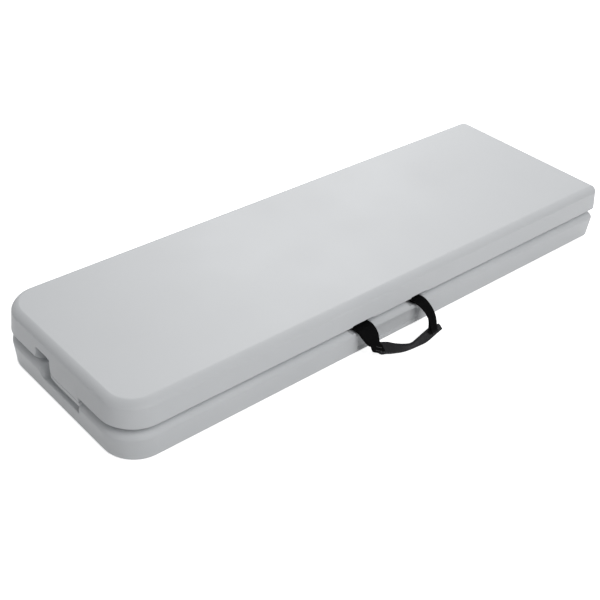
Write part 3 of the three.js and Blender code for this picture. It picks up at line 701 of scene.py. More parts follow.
def set_on_points_tree():
    """Sets a template on every point, its X along `aim` and its Z along `face`."""
    tree = bpy.data.node_groups.new("set_on_points", "GeometryNodeTree")
    for label, kind in (("Geometry", "Geometry"), ("Template", "Object"), ("Finish", "Material"),
                        ("Spin", "Float"), ("Seed", "Int")):
        tree.interface.new_socket(label, in_out="INPUT", socket_type="NodeSocket" + kind)
    tree.interface.new_socket("Geometry", in_out="OUTPUT", socket_type="NodeSocketGeometry")
    given = tree.nodes.new("NodeGroupInput")
    turned = {}
    for label, axis, pivot in (("face", "Z", "AUTO"), ("aim", "X", "Z")):
        named = add_node(tree, "GeometryNodeInputNamedAttribute", {"Name": label}, data_type="FLOAT_VECTOR")
        align = add_node(tree, "FunctionNodeAlignRotationToVector",
                         {"Vector": named.outputs["Attribute"], **turned}, axis=axis, pivot_axis=pivot)
        turned = {"Rotation": align.outputs["Rotation"]}
    chance = add_node(tree, "FunctionNodeRandomValue", data_type="FLOAT")
    feed(tree, chance, {3: given.outputs["Spin"], "Seed": given.outputs["Seed"]})
    angle = add_node(tree, "ShaderNodeCombineXYZ", {"Z": chance.outputs[1]})
    euler = add_node(tree, "FunctionNodeEulerToRotation", {0: angle.outputs[0]})
    spun = add_node(tree, "FunctionNodeRotateRotation", {**turned, "Rotate By": euler.outputs[0]},
                    rotation_space="LOCAL")
    template = add_node(tree, "GeometryNodeObjectInfo", {"Object": given.outputs["Template"]})
    placed = add_node(tree, "GeometryNodeInstanceOnPoints", {
        "Points": given.outputs["Geometry"], "Instance": template.outputs["Geometry"],
        "Rotation": spun.outputs[0]})
    real = add_node(tree, "GeometryNodeRealizeInstances", {0: placed.outputs[0]})
    coat = add_node(tree, "GeometryNodeSetMaterial",
                    {"Geometry": real.outputs[0], "Material": given.outputs["Finish"]})
    add_node(tree, "NodeGroupOutput", {0: coat.outputs[0]})
    return tree


set_on_points = set_on_points_tree()


def upright(x, y, z):
    """A place for a screw that stands up straight."""
    return (x, y, z), (1, 0, 0), (0, 0, 1)


def as_made(thing):
    """The mesh that an object's modifiers make."""
    bpy.context.view_layer.update()
    return bpy.data.meshes.new_from_object(thing.evaluated_get(bpy.context.evaluated_depsgraph_get()))


def repeated(name, template, places, finish, half="lower", spin=0.0, seed=1):
    """One mesh of a template set at each place: a point, the way its X goes and its Z goes."""
    mesh = in_metres([place for place, _, _ in places], [])
    for label, which in (("aim", 1), ("face", 2)):
        attribute = mesh.attributes.new(label, "FLOAT_VECTOR", "POINT")
        attribute.data.foreach_set("vector", [c for entry in places for c in entry[which]])
    holder, model = linked(name + "_points", mesh), linked(name + "_template", template)
    modifier = holder.modifiers.new("set_on_points", "NODES")
    modifier.node_group = set_on_points
    wanted = {"Template": model, "Finish": finish, "Spin": spin, "Seed": seed}
    for item in set_on_points.interface.items_tree:
        if item.in_out == "INPUT" and item.name in wanted:
            modifier[item.identifier] = wanted[item.name]
    made = as_made(holder)
    for thing in (holder, model):
        bpy.data.objects.remove(thing)
    return as_piece(name, made, half=half)


def turned_profile(profile, sides):
    """Rings about Z from radius and height pairs, the first and last of them on the axis."""
    return loft([[(max(radius, 0.002) * math.cos(turn), max(radius, 0.002) * math.sin(turn), height)
                  for turn in round_angles(sides)] for radius, height in profile])


def pan_screw():
    """A pan-head screw with a cross recess: its seat at z = 0 and a short shank below."""
    head, height, shank, shank_end, head_edge = 4.0, 2.3, 1.9, -5.0, 0.5
    profile = [(0, shank_end), (shank, shank_end), (shank, 0.0), (head, 0.0), (head, head_edge)]
    for turn in quarter(7)[1:]:
        profile.append((head - 1.8 * (1 - math.cos(turn)), head_edge + (height - 0.8) * math.sin(turn)))
    profile.append((0, height))
    body = linked("screw_body", mesh_of(*turned_profile(profile, 28)))
    cutters = []
    blade_long, blade_wide, blade_taper = 1.75, 0.42, 0.45
    for long_x, long_y in ((blade_long, blade_wide), (blade_wide, blade_long)):
        top = [(-long_x, -long_y), (long_x, -long_y), (long_x, long_y), (-long_x, long_y)]
        foot = [(x * blade_taper if long_x > 1 else x, y * blade_taper if long_y > 1 else y) for x, y in top]
        blade = mesh_of(*loft([[(x, y, height - 1.5) for x, y in foot],
                               [(x, y, height + 0.4) for x, y in top]]))
        cutters.append(linked("screw_cutter", blade))
        cut = body.modifiers.new("recess", "BOOLEAN")
        cut.operation = "DIFFERENCE"
        cut.solver = "EXACT"
        cut.object = cutters[-1]
    made = as_made(body)
    for thing in (body, *cutters):
        bpy.data.objects.remove(thing)
    return shaded(made)


def rail_mesh(side):
    """A box section with soft outer edges at its two open ends."""
    middle_y, middle_z = side * (rail_outer_y - rail_width / 2), deck_top + rail_height / 2
    outer = rounded_box(rail_width, rail_height, rail_corner)
    soft = rounded_box(rail_width - 2 * rail_edge, rail_height - 2 * rail_edge, rail_soft_corner)
    inner = rounded_box(rail_width - 2 * rail_wall, rail_height - 2 * rail_wall, rail_inner_corner)

    def ring(section, x):
        return [(x, middle_y + u, middle_z + v) for u, v in section]

    rings = [
        ring(inner, rail_x[0]), ring(soft, rail_x[0]), ring(outer, rail_x[0] + rail_edge),
        ring(outer, rail_x[1] - rail_edge), ring(soft, rail_x[1]), ring(inner, rail_x[1]),
    ]
    return mesh_of(*loft(rings, loop=True))


frame_coat = grained(
    "frame_coat", (0.245, 0.252, 0.260), (0.262, 0.270, 0.278), 1500.0, 30.0, (0.34, 0.46), 0.16, 0.0002,
    {"Coat Weight": 0.15})
zinc = grained(
    "zinc_plate", (0.27, 0.28, 0.30), (0.38, 0.39, 0.40), 700.0, 90.0, (0.32, 0.50), 0.12, 0.0001,
    {"Metallic": 1.0})
screw_template, screw_spin = pan_screw(), 3.1


def screws_at(name, places, seed, half="lower"):
    """Zinc screws, each turned by chance."""
    return repeated(name, screw_template.copy(), places, zinc, half, spin=screw_spin, seed=seed)


for half in ("lower", "upper"):
    places = []
    for side in (-1, 1):
        node = f"{half}_{place_of(half, side)}_side_rail"
        rail = as_piece(node + "_tube", rail_mesh(side), frame_coat, half)
        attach(rail, f"{half}_half")
        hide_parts(node)
        rail_y = side * (rail_outer_y - rail_width / 2)
        places += [upright(x, rail_y, deck_top + rail_height) for x in rail_screws_x]
    screws = screws_at(f"{half}_rail_screws", places, 3, half)
    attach(screws, f"{half}_half")

# Fold hinges. A steel lug is welded into the end of each rail, with a round ear beyond the end
# wall. A tubular rivet with rolled heads pins the ears of both halves together.
seam_height, fold_x, ear_radius, ear_hole, lug_thickness = 45.0, 458.0, 8.5, 4.5, 5.95
lug_x, lug_z = (400.0, 430.0), (18.1, 34.5)
lug_planes = {"upper": 120.0, "lower": 126.45}
pin_radius, pin_head_radius, pin_head, pin_y = 4.0, 6.5, 1.4, (119.7, 132.7)


def drawn_in(loop, distance):
    """The loop moved sideways, into the material that lies to its left."""
    out = []
    for i, point in enumerate(loop):
        before, here, after = Vector(loop[i - 1]), Vector(point), Vector(loop[(i + 1) % len(loop)])
        first, second = (here - before).normalized(), (after - here).normalized()
        lean = Vector((-first.y - second.y, first.x + second.x))
        lean.normalize()
        spread = max(lean.dot(Vector((-first.y, first.x))), 0.5)
        out.append(tuple(here + lean * (distance / spread)))
    return out


def arc(centre, radius, start, end, steps):
    """Points of an arc between two angles in degrees."""
    turns = [math.radians(start + (end - start) * i / steps) for i in range(steps + 1)]
    return [(centre[0] + radius * math.cos(turn), centre[1] + radius * math.sin(turn)) for turn in turns]


def plate(outer, holes, low, high, edge, put=None):
    """A flat plate with softened edges. Outer runs anticlockwise and holes clockwise."""
    loops = [outer, *holes]
    count = sum(len(loop) for loop in loops)
    levels = [(edge * (1 - math.sin(turn)), low + edge * (1 - math.cos(turn))) for turn in quarter(3)]
    levels += [(inset, high + low - w) for inset, w in reversed(levels)]
    points, faces = [], []
    for inset, w in levels:
        for loop in loops:
            points += [(u, v, w) for u, v in (drawn_in(loop, inset) if inset else loop)]
    for k in range(len(levels) - 1):
        start = 0
        for loop in loops:
            for i in range(len(loop)):
                a, b = start + i, start + (i + 1) % len(loop)
                faces.append((k * count + a, k * count + b, (k + 1) * count + b, (k + 1) * count + a))
            start += len(loop)
    inner = [drawn_in(loop, edge) for loop in loops]
    for triangle in filled(inner[0], inner[1:]):
        faces.append(tuple(reversed(triangle)))
        faces.append(tuple(i + (len(levels) - 1) * count for i in triangle))
    if put:
        points = [put(*point) for point in points]
    return points, faces


def touching(point, centre, radius, turn):
    """The angle in degrees where a line from the point touches the circle."""
    away = Vector(point) - Vector(centre)
    return math.degrees(math.atan2(away.y, away.x) + turn * math.acos(radius / away.length))


def bead(path, radius, ripples, sides=10):
    """A weld bead: a rippled round sweep along a closed path."""
    rings = []
    for k, point in enumerate(path):
        along = (Vector(path[(k + 1) % len(path)]) - Vector(path[k - 1])).normalized()
        level = along.orthogonal() if abs(along.z) > 0.9 else along.cross(Vector((0, 0, 1)))
        across = level.normalized()
        up = along.cross(across)
        size = radius * (1 + 0.10 * math.sin(2 * math.pi * ripples * k / len(path)))
        rings.append([tuple(Vector(point) + (across * math.cos(a) + up * math.sin(a)) * size)
                      for a in round_angles(sides)])
    return loft(rings, loop=True)


def lug_mesh(half, side):
    """A flat lug with a round drilled ear, and the weld round it at the end of the rail."""
    centre = (fold_x, seam_height)
    start = touching((lug_x[1], lug_z[0]), centre, ear_radius, 1)
    end = touching((lug_x[1], lug_z[1]), centre, ear_radius, -1)
    if start > end:
        start -= 360
    outer = [(lug_x[0], lug_z[0]), (lug_x[1], lug_z[0]), *arc(centre, ear_radius, start, end, 30),
             (lug_x[1], lug_z[1]), (lug_x[0], lug_z[1])]
    hole = arc(centre, ear_hole, 360, 0, 32)[:-1]
    near = lug_planes[half]

    def put(u, v, w):
        return u, side * w, v

    body = plate(outer, [hole], near, near + lug_thickness, 0.5, put)
    weld_out = 0.3
    weld_x, middle = lug_x[1] + weld_out, near + lug_thickness / 2
    height, width = lug_z[1] - lug_z[0] + 2 * weld_out, lug_thickness + 2 * weld_out
    ring = [(weld_x, side * (middle + u), (lug_z[0] + lug_z[1]) / 2 + v)
            for u, v in rounded_box(width, height, 1.2, 3)]
    dense = []
    for a, b in zip(ring, ring[1:] + ring[:1]):
        steps = max(1, round((Vector(b) - Vector(a)).length / 0.5))
        dense += [tuple(Vector(a).lerp(Vector(b), i / steps)) for i in range(steps)]
    return mesh_of(*joined(body, bead(dense, 1.1, 24)))


def pin_mesh(side):
    """The pin lies along Y: turned about Z first, then laid over."""
    inner, outer = pin_y[0] - pin_head, pin_y[1] + pin_head
    bore, bore_depth, roll, roll_height = 2.4, 5.0, 1.3, 0.9
    profile = [(0, inner + bore_depth), (bore, inner + bore_depth), (bore, inner + roll_height)]
    profile += [(bore + roll - roll * math.cos(math.radians(t)),
                 inner + roll_height - roll_height * math.sin(math.radians(t))) for t in (30, 60, 90)]
    profile += [(pin_head_radius - 1.2, inner + 0.15), (pin_head_radius - 0.3, inner + 0.55),
                (pin_head_radius, pin_y[0] - 0.3), (pin_head_radius - 0.2, pin_y[0]), (pin_radius, pin_y[0])]
    profile += [(radius, inner + outer - height) for radius, height in reversed(profile)]
    points, faces = turned_profile(profile, 36)
    return mesh_of([(fold_x + x, side * z, seam_height + y) for x, y, z in points], faces)


for half in ("lower", "upper"):
    for side in (-1, 1):
        node = f"{half}_{place_of(half, side)}_hinge_lug"
        lug = as_piece(node + "_plate", lug_mesh(half, side), frame_coat, half)
        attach(lug, f"{half}_half")
        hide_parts(node)
for place, side in (("front", -1), ("rear", 1)):
    pin = as_piece(f"{place}_pin_rivet", pin_mesh(side), zinc)
    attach(pin, "lower_half")
    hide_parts(f"{place}_fold_pin")

# Leg frames. One steel tube in each half, bent to a U, with a smaller tube welded across the
# two legs. Grey powder coat over everything.
pivot_x, pivot_z = -372.0, 30.4
leg_y, leg_radius, leg_bend, leg_end = 102.0, 11.0, 38.0, 394.3
stretcher_reach, stretcher_radius = 299.6, 8.0


def with_sides(path):
    """Each point of a flat open path, with the way to its left."""
    out = []
    for k, point in enumerate(path):
        before, after = Vector(path[max(k - 1, 0)]), Vector(path[min(k + 1, len(path) - 1)])
        along = (after - before).normalized()
        out.append((Vector(point), Vector((-along.y, along.x))))
    return out


def leg_tube_mesh(sides=40, bend_steps=14):
    """A round tube swept along the U, from one foot to the other."""
    path = [(leg_end, -leg_y), (leg_end * 0.5, -leg_y), (leg_bend, -leg_y)]
    for i in range(1, bend_steps + 1):
        turn = math.radians(-90 - 90 * i / bend_steps)
        path.append((leg_bend + leg_bend * math.cos(turn), -leg_y + leg_bend + leg_bend * math.sin(turn)))
    path += [(0, 0)] + [(x, -y) for x, y in reversed(path)]
    rings = []
    for point, across in with_sides(path):
        ring = []
        for turn in round_angles(sides):
            x, y = point + across * leg_radius * math.cos(turn)
            ring.append((pivot_x + x, y, pivot_z + leg_radius * math.sin(turn)))
        rings.append(ring)
    return mesh_of(*loft(rings))


def stretcher_mesh(sides=36, weld_steps=150):
    """A round bar between the legs, with a weld bead where it meets each of them."""
    x, into_leg, weld_out = pivot_x + stretcher_reach, 5, 0.4
    bar = loft([[(x + stretcher_radius * math.cos(turn), y, pivot_z + stretcher_radius * math.sin(turn))
                 for turn in round_angles(sides)] for y in (into_leg - leg_y, leg_y - into_leg)])
    parts = [bar]
    for side in (-1, 1):
        path = []
        for turn in round_angles(weld_steps):
            lift = (stretcher_radius + weld_out) * math.sin(turn)
            y = leg_y - math.sqrt(leg_radius ** 2 - lift ** 2) - contact_gap
            path.append((x + (stretcher_radius + weld_out) * math.cos(turn), side * y, pivot_z + lift))
        parts.append(bead(path, 1.5, 34))
    return mesh_of(*joined(*parts))


for half in ("lower", "upper"):
    for node, maker in (("leg_tube", leg_tube_mesh), ("leg_stretcher", stretcher_mesh)):
        tube = as_piece(f"{half}_{node}_steel", maker(), frame_coat, half)
        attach(tube, f"{half}_legs")
        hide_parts(f"{half}_{node}")

# Foot caps. Four moulded rubber caps pushed over the leg ends, with grip rings round the side
# and a ringed sole.
foot_reach, cap_radius, cap_length, cap_round, cap_bore, cap_floor = 399.6, 13.5, 30.0, 3.0, 11.2, 5.0
grip_ring_first, grip_ring_pitch, grip_ring_count = 4, 3.2, 3
sole_rings, sole_groove = (8.2, 5.4, 2.6), 0.7


def foot_cap_mesh(side):
    """A cap turned about its leg: the bore, the mouth, three grip rings and a ringed sole."""
    mouth = foot_reach - cap_length
    profile = [(0, foot_reach - cap_floor), (cap_bore, foot_reach - cap_floor), (cap_bore, mouth + 0.5),
               (cap_bore + 0.5, mouth), (cap_radius - 1.2, mouth), (cap_radius - 0.8, mouth + 0.6)]
    for i in range(grip_ring_count):
        at = mouth + grip_ring_first + i * grip_ring_pitch
        profile += [(cap_radius - 0.7, at), (cap_radius - 1.2, at + 0.4), (cap_radius - 1.2, at + 0.9),
                    (cap_radius - 0.6, at + 1.3)]
    for turn in quarter(6):
        profile.append((cap_radius - cap_round * (1 - math.cos(turn)),
                        foot_reach - cap_round * (1 - math.sin(turn))))
    for radius in sole_rings:
        profile += [(radius + 0.7, foot_reach), (radius + 0.4, foot_reach - sole_groove),
                    (radius - 0.4, foot_reach - sole_groove), (radius - 0.7, foot_reach)]
    profile.append((0, foot_reach))
    points, faces = turned_profile(profile, 44)
    return mesh_of([(pivot_x + z, side * leg_y + y, pivot_z + x) for x, y, z in points], faces)


rubber = grained(
    "foot_rubber", (0.020, 0.020, 0.021), (0.027, 0.027, 0.028), 900.0, 40.0, (0.62, 0.78), 0.30, 0.0002)
for half in ("lower", "upper"):
    for side in (-1, 1):
        node = f"{half}_{place_of(half, side)}_foot_cap"
        cap = as_piece(node + "_rubber", foot_cap_mesh(side), rubber, half)
        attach(cap, f"{half}_legs")
        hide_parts(node)

# Saddle clamps. Steel strips bent over the closed end of each leg frame, which turns in them,
# with a screw through each flange.
saddle_y, saddle_width, saddle_strip, saddle_flange = 50.0, 26.0, 2.2, 16.0
saddle_gap, saddle_bend, saddle_screw_reach = 0.5, 2.0, 21.9


def strip_outline(path, thickness):
    """The outline of a strip whose middle follows the path, anticlockwise for a path to the left."""
    sides = [(point, across * (thickness / 2)) for point, across in with_sides(path)]
    right = [tuple(point - side) for point, side in sides]
    return right + [tuple(point + side) for point, side in reversed(sides)]


def saddle_mesh(side):
    """A strip over the tube, with a flange on each side of it."""
    middle = leg_radius + saddle_gap + saddle_strip / 2
    flange_z = deck_top - pivot_z + saddle_strip / 2
    bend = saddle_bend + saddle_strip / 2
    reach = middle + saddle_strip / 2 + saddle_flange
    path = [(reach, flange_z), (reach - 6, flange_z),
            *arc((middle + bend, flange_z + bend), bend, 270, 180, 6),
            *arc((0, 0), middle, 0, 180, 28),
            *arc((-middle - bend, flange_z + bend), bend, 0, -90, 6),
            (6 - reach, flange_z), (-reach, flange_z)]

    def put(u, v, w):
        return pivot_x + u, w, pivot_z + v

    low = side * saddle_y - saddle_width / 2
    return mesh_of(*plate(strip_outline(path, saddle_strip), [], low, low + saddle_width, 0.4, put))


for half in ("lower", "upper"):
    places = []
    for side in (-1, 1):
        node = f"{half}_{place_of(half, side)}_saddle_clamp"
        saddle = as_piece(node + "_strip", saddle_mesh(side), frame_coat, half)
        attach(saddle, f"{half}_half")
        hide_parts(node)
        places += [upright(pivot_x + x, side * saddle_y, deck_top + saddle_strip)
                   for x in (-saddle_screw_reach, saddle_screw_reach)]
    screws = screws_at(f"{half}_clamp_screws", places, 8, half)
    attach(screws, f"{half}_half")

# Folding braces. On each leg a pressed bracket screwed to the deck, a panel link and a leg link
# of flat strip, and three zinc rivets with rounded heads.
brace_panel_reach, brace_leg_reach, knee_reach = 199.829, 169.829, 50.362
link_radius, link_hole, link_thickness = 7.5, 3.3, 3.0
leg_link_y, panel_link_y, bracket_y = 87.4, 81.8, 78.7
bracket_strip, bracket_length, bracket_ear, bracket_foot_y = 2.8, 40.0, 9.0, 57.5
bracket_screw_x, bracket_screw_y = 12, 9.5
rivet_radius, rivet_head_radius, rivet_head = 3.0, 6.0, 2.0
# Where the rivets sit, out from the bench's middle: the faces of the bracket and of the links
bracket_face, panel_link_face, links_outside, leg_link_face, leg_rivet_end = 78.4, 81.5, 85.1, 87.1, 92.5


def link_mesh(side, reach, y):
    """A flat strip with round ends from the knee to its far hole."""
    outer = arc((reach, 0), link_radius, -90, 90, 20) + arc((knee_reach, 0), link_radius, 90, 270, 20)
    holes = [arc((x, 0), link_hole, 360, 0, 24)[:-1] for x in (knee_reach, reach)]

    def put(u, v, w):
        return pivot_x + u, side * w, pivot_z + v

    return mesh_of(*plate(outer, holes, y, y + link_thickness, 0.4, put))


def bracket_mesh(side):
    """Drawn flat, then bent: v runs up the blank from the foot, round the bend and up the ear."""
    bend_inner = 1.5
    bend_y, bend_z = bracket_y - bend_inner, deck_top - pivot_z + bracket_strip + bend_inner
    neutral = bend_inner + bracket_strip / 2
    foot = bend_y - bracket_foot_y
    turn_length = neutral * math.pi / 2
    hole_v = foot + turn_length - bend_z
    half_long, corner = bracket_length / 2, 4.0
    start = touching((half_long, foot + turn_length), (0, hole_v), bracket_ear, 1)
    end = touching((-half_long, foot + turn_length), (0, hole_v), bracket_ear, -1)
    if end < start:
        end += 360
    outer = [*arc((-half_long + corner, corner), corner, 180, 270, 6),
             *arc((half_long - corner, corner), corner, 270, 360, 6),
             (half_long, foot * 0.6), (half_long, foot + turn_length),
             *arc((0, hole_v), bracket_ear, start, end, 22),
             (-half_long, foot + turn_length), (-half_long, foot * 0.6)]
    hole = arc((0, hole_v), link_hole, 360, 0, 24)[:-1]
    flat = mesh_of(*plate(outer, [hole], 0, bracket_strip, 0.4))
    shaped = bmesh.new()
    shaped.from_mesh(flat)
    for i in range(7):
        geometry = shaped.verts[:] + shaped.edges[:] + shaped.faces[:]
        bmesh.ops.bisect_plane(shaped, geom=geometry, plane_co=(0, (foot + turn_length * i / 6) * MILLI, 0),
                               plane_no=(0, 1, 0), dist=1e-7)
    for vert in shaped.verts:
        u, v, w = (c / MILLI for c in vert.co)
        w = bracket_strip - w
        if v <= foot:
            y, z = bracket_foot_y + v, bend_z - bend_inner - w
        elif v <= foot + turn_length:
            turn = (v - foot) / neutral
            y, z = bend_y + (bend_inner + w) * math.sin(turn), bend_z - (bend_inner + w) * math.cos(turn)
        else:
            y, z = bend_y + bend_inner + w, bend_z + v - foot - turn_length
        vert.co = Vector((pivot_x + brace_panel_reach + u, side * y, pivot_z + z)) * MILLI
    if shaped.calc_volume(signed=True) < 0:
        bmesh.ops.reverse_faces(shaped, faces=shaped.faces)
    shaped.to_mesh(flat)
    shaped.free()
    return flat


def rivet_mesh(side, reach, profile):
    """A turned rivet laid along Y: pairs of radius and distance out from the bench's middle."""
    points, faces = turned_profile(profile, 32)
    return mesh_of([(pivot_x + reach + x, side * z, pivot_z + y) for x, y, z in points], faces)


def domed(base, height, radius, outwards):
    """Half of a round head as radius and place pairs, from the rim to the axis."""
    return [(radius * math.cos(math.radians(t)), base + outwards * height * math.sin(math.radians(t)))
            for t in (0, 12, 26, 42, 60, 78, 90)]


def headed(face, end):
    """The domed inner head of a rivet and its shank, up to where its other end starts."""
    return domed(face, rivet_head, rivet_head_radius, -1)[::-1] + [(rivet_radius, face), (rivet_radius, end)]


knee_flat = [(5.6, links_outside), (6.0, 85.5), (6.0, 86.7), (5.6, leg_link_face), (0, leg_link_face)]
rivets = {
    "bracket_rivet": ("half", brace_panel_reach,
                      headed(bracket_face, links_outside)
                      + domed(links_outside, 1.7, rivet_head_radius - 0.8, 1)),
    "knee_rivet": ("panel_links", knee_reach, headed(panel_link_face, links_outside) + knee_flat),
    "leg_rivet": ("legs", brace_leg_reach, headed(leg_link_face, leg_rivet_end) + [(0, leg_rivet_end)]),
}
for half in ("lower", "upper"):
    places = []
    for side in (-1, 1):
        label = f"{half}_{place_of(half, side)}"
        steel = {
            "brace_bracket": ("half", bracket_mesh(side)),
            "panel_link": ("panel_links", link_mesh(side, brace_panel_reach, panel_link_y)),
            "leg_link": ("leg_links", link_mesh(side, brace_leg_reach, leg_link_y)),
        }
        for kind, (body, mesh) in steel.items():
            strip = as_piece(f"{label}_{kind}_steel", mesh, frame_coat, half)
            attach(strip, f"{half}_{body}")
            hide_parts(f"{label}_{kind}")
        for kind, (body, reach, profile) in rivets.items():
            stud = as_piece(f"{label}_{kind}_head", rivet_mesh(side, reach, profile), zinc, half)
            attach(stud, f"{half}_{body}")
            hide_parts(f"{label}_{kind}")
        places += [upright(pivot_x + brace_panel_reach + x, side * (bracket_foot_y + bracket_screw_y),
                           deck_top + bracket_strip) for x in (-bracket_screw_x, bracket_screw_x)]
    screws = screws_at(f"{half}_bracket_screws", places, 12, half)
    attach(screws, f"{half}_half")

# Spring clips. Black plastic jaws that stand on the deck and that the folded legs press into. Each
# is moulded in one piece, with a lead-in at its mouth.
clip_reach, clip_length, clip_jaw, clip_top = 249.714, 18.0, 3.0, 6.0
clip_gap, clip_lead, clip_corner = 0.5, 1.6, 0.8


def clip_mesh(side):
    """A jaw open at the top, in one section along the leg."""
    inner = leg_radius + clip_gap
    outer, floor = inner + clip_jaw, deck_top - pivot_z
    lead_foot, corner_foot = clip_top - 1.5 * clip_lead, clip_top - clip_corner
    shape = [(-outer, floor), (outer, floor), (outer, corner_foot), (outer - clip_corner, clip_top),
             (inner + clip_lead, clip_top), (inner, lead_foot), *arc((0, 0), inner, 0, -180, 26),
             (-inner, lead_foot), (-inner - clip_lead, clip_top), (clip_corner - outer, clip_top),
             (-outer, corner_foot)]

    def put(u, v, w):
        return pivot_x + w, side * leg_y + u, pivot_z + v

    return mesh_of(*plate(shape, [], clip_reach - clip_length / 2, clip_reach + clip_length / 2, 0.6, put))


clip_plastic = grained(
    "clip_plastic", (0.018, 0.018, 0.019), (0.024, 0.024, 0.025), 1200.0, 30.0, (0.42, 0.52), 0.12, 0.0002)
for half in ("lower", "upper"):
    for side in (-1, 1):
        node = f"{half}_{place_of(half, side)}_leg_clip"
        clip = as_piece(node + "_jaw", clip_mesh(side), clip_plastic, half)
        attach(clip, f"{half}_half")
        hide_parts(node)

# Carry handle. Two ends of black webbing come out of the seam, fold double lengthwise and are
# sewn on to the ends of a grip, a charcoal band folded double with its cut ends standing out.
axis_y, axis_z, handle_slope = -150.0, 41.4, math.radians(35)
webbing_width, webbing_half, fold_radius = 31.0, 0.9, 1.15
grip_half, grip_radius = 0.95, 1.05
# Each pair: the lower open edge and the upper folded edge of the grip, as the place along X, the
# distance out from the rim down the slope, and the height over it
grip_pairs = (
    ((-71.7, 32.7, -4.0), (-66.6, 21.8, 4.6)),
    ((-62.1, 38.5, -4.5), (-59.4, 26.7, 5.1)),
    ((-50.2, 44.3, -5.3), (-48.5, 31.6, 5.5)),
    ((-36.9, 48.4, -6.3), (-39.8, 38.6, 6.8)),
    ((-22.8, 51.7, -7.4), (-29.5, 44.8, 8.0)),
    ((-7.5, 53.2, -8.0), (-15.5, 49.0, 7.5)),
    ((6.1, 54.4, -7.5), (0.8, 46.4, 6.6)),
    ((20.1, 54.8, -6.6), (14.8, 43.5, 6.0)),
    ((35.5, 52.2, -6.0), (28.6, 41.2, 6.0)),
    ((48.4, 49.8, -6.0), (38.5, 42.0, 6.0)),
    ((56.6, 48.3, -6.0), (46.8, 42.8, 6.0)),
)
# Each pair: the free edge and the folded edge of a strap from the rim to the grip
left_pairs = (
    ((-52.8, 0.6, 4.6), (-81.2, 0.6, 4.6)),
    ((-53.0, 7.6, 5.5), (-80.6, 9.1, 4.9)),
    ((-54.1, 14.7, 5.2), (-79.1, 17.1, 4.6)),
    ((-57.1, 20.1, 6.0), (-77.0, 22.6, 4.2)),
)
right_pairs = (
    ((31.0, 0.8, 4.4), (51.0, 0.7, 4.2)),
    ((34.3, 8.5, 4.7), (52.6, 8.2, 4.2)),
    ((35.5, 17.0, 5.2), (52.5, 17.2, 4.6)),
    ((34.6, 25.5, 6.2), (50.6, 25.1, 5.3)),
    ((32.2, 33.3, 7.1), (46.8, 32.6, 6.5)),
)


def on_slope(x, out, over):
    """From the handle's own plane, which slopes down from the rim, to the frame."""
    return Vector((x, axis_y - out * math.cos(handle_slope) - over * math.sin(handle_slope),
                   axis_z - out * math.sin(handle_slope) + over * math.cos(handle_slope)))


def smooth_pairs(pairs, spacing):
    """A smooth run through pairs of points, stepped evenly along the middle between them."""
    spots = np.array([[*a, *b] for a, b in pairs])
    middles = (spots[:, :3] + spots[:, 3:]) / 2
    steps = np.maximum(np.linalg.norm(np.diff(middles, axis=0), axis=1), 0.05)
    marks = np.concatenate([[0], np.cumsum(steps)])
    slopes = np.zeros_like(spots)
    for i in range(len(spots)):
        low, high = max(i - 1, 0), min(i + 1, len(spots) - 1)
        slopes[i] = (spots[high] - spots[low]) / (marks[high] - marks[low])
    out = []
    for at in np.linspace(0, marks[-1], max(2, round(marks[-1] / spacing))):
        i = min(int(np.searchsorted(marks, at, side="right")) - 1, len(spots) - 2)
        span = marks[i + 1] - marks[i]
        t = (at - marks[i]) / span
        row = ((2 * t ** 3 - 3 * t ** 2 + 1) * spots[i] + (t ** 3 - 2 * t ** 2 + t) * span * slopes[i]
               + (3 * t ** 2 - 2 * t ** 3) * spots[i + 1] + (t ** 3 - t ** 2) * span * slopes[i + 1])
        out.append((Vector(row[:3]), Vector(row[3:]), at))
    return out


def folded_band(stations, width_at, radius, half_thick, face_up, divisions=56):
    """Webbing folded over at its second edge. Each ring runs round the cloth's cross-section, and
    the UV map holds centimetres across and along the cloth."""
    rings, cloth_marks = [], []
    for k, (free, fold, at) in enumerate(stations):
        low, high = stations[max(k - 1, 0)], stations[min(k + 1, len(stations) - 1)]
        along = ((high[0] + high[1]) - (low[0] + low[1])).normalized()
        across = fold - free
        chord = across.length
        across = across / chord
        normal = across.cross(along).normalized() * face_up
        width = width_at(at)
        straight = min(chord - radius, width)
        upper, lower, us = [], [], []
        for i in range(divisions + 1):
            u = width * i / divisions
            turn = min(max(u - straight, 0) / radius, math.pi)
            rest = max(u - straight - math.pi * radius, 0)
            middle = (free + across * (min(u, straight) + radius * math.sin(turn) - rest)
                      - normal * radius * (1 - math.cos(turn)))
            lean = normal * math.cos(turn) + across * math.sin(turn)
            tip = 1.0 if 0 < i < divisions else 0.55
            upper.append(middle + lean * half_thick * tip)
            lower.append(middle - lean * half_thick * tip)
            us.append(u)
        rings.append([tuple(p) for p in upper + lower[::-1]])
        cloth_marks += [(u, at) for u in us + us[::-1]]
    mesh = in_metres(*loft(rings))
    layer = mesh.uv_layers.new(name="cloth")
    for loop in mesh.loops:
        u, v = cloth_marks[loop.vertex_index]
        layer.data[loop.index].uv = (u / 10, v / 10)
    shaped = bmesh.new()
    shaped.from_mesh(mesh)
    bmesh.ops.recalc_face_normals(shaped, faces=shaped.faces)
    shaped.to_mesh(mesh)
    shaped.free()
    return mesh


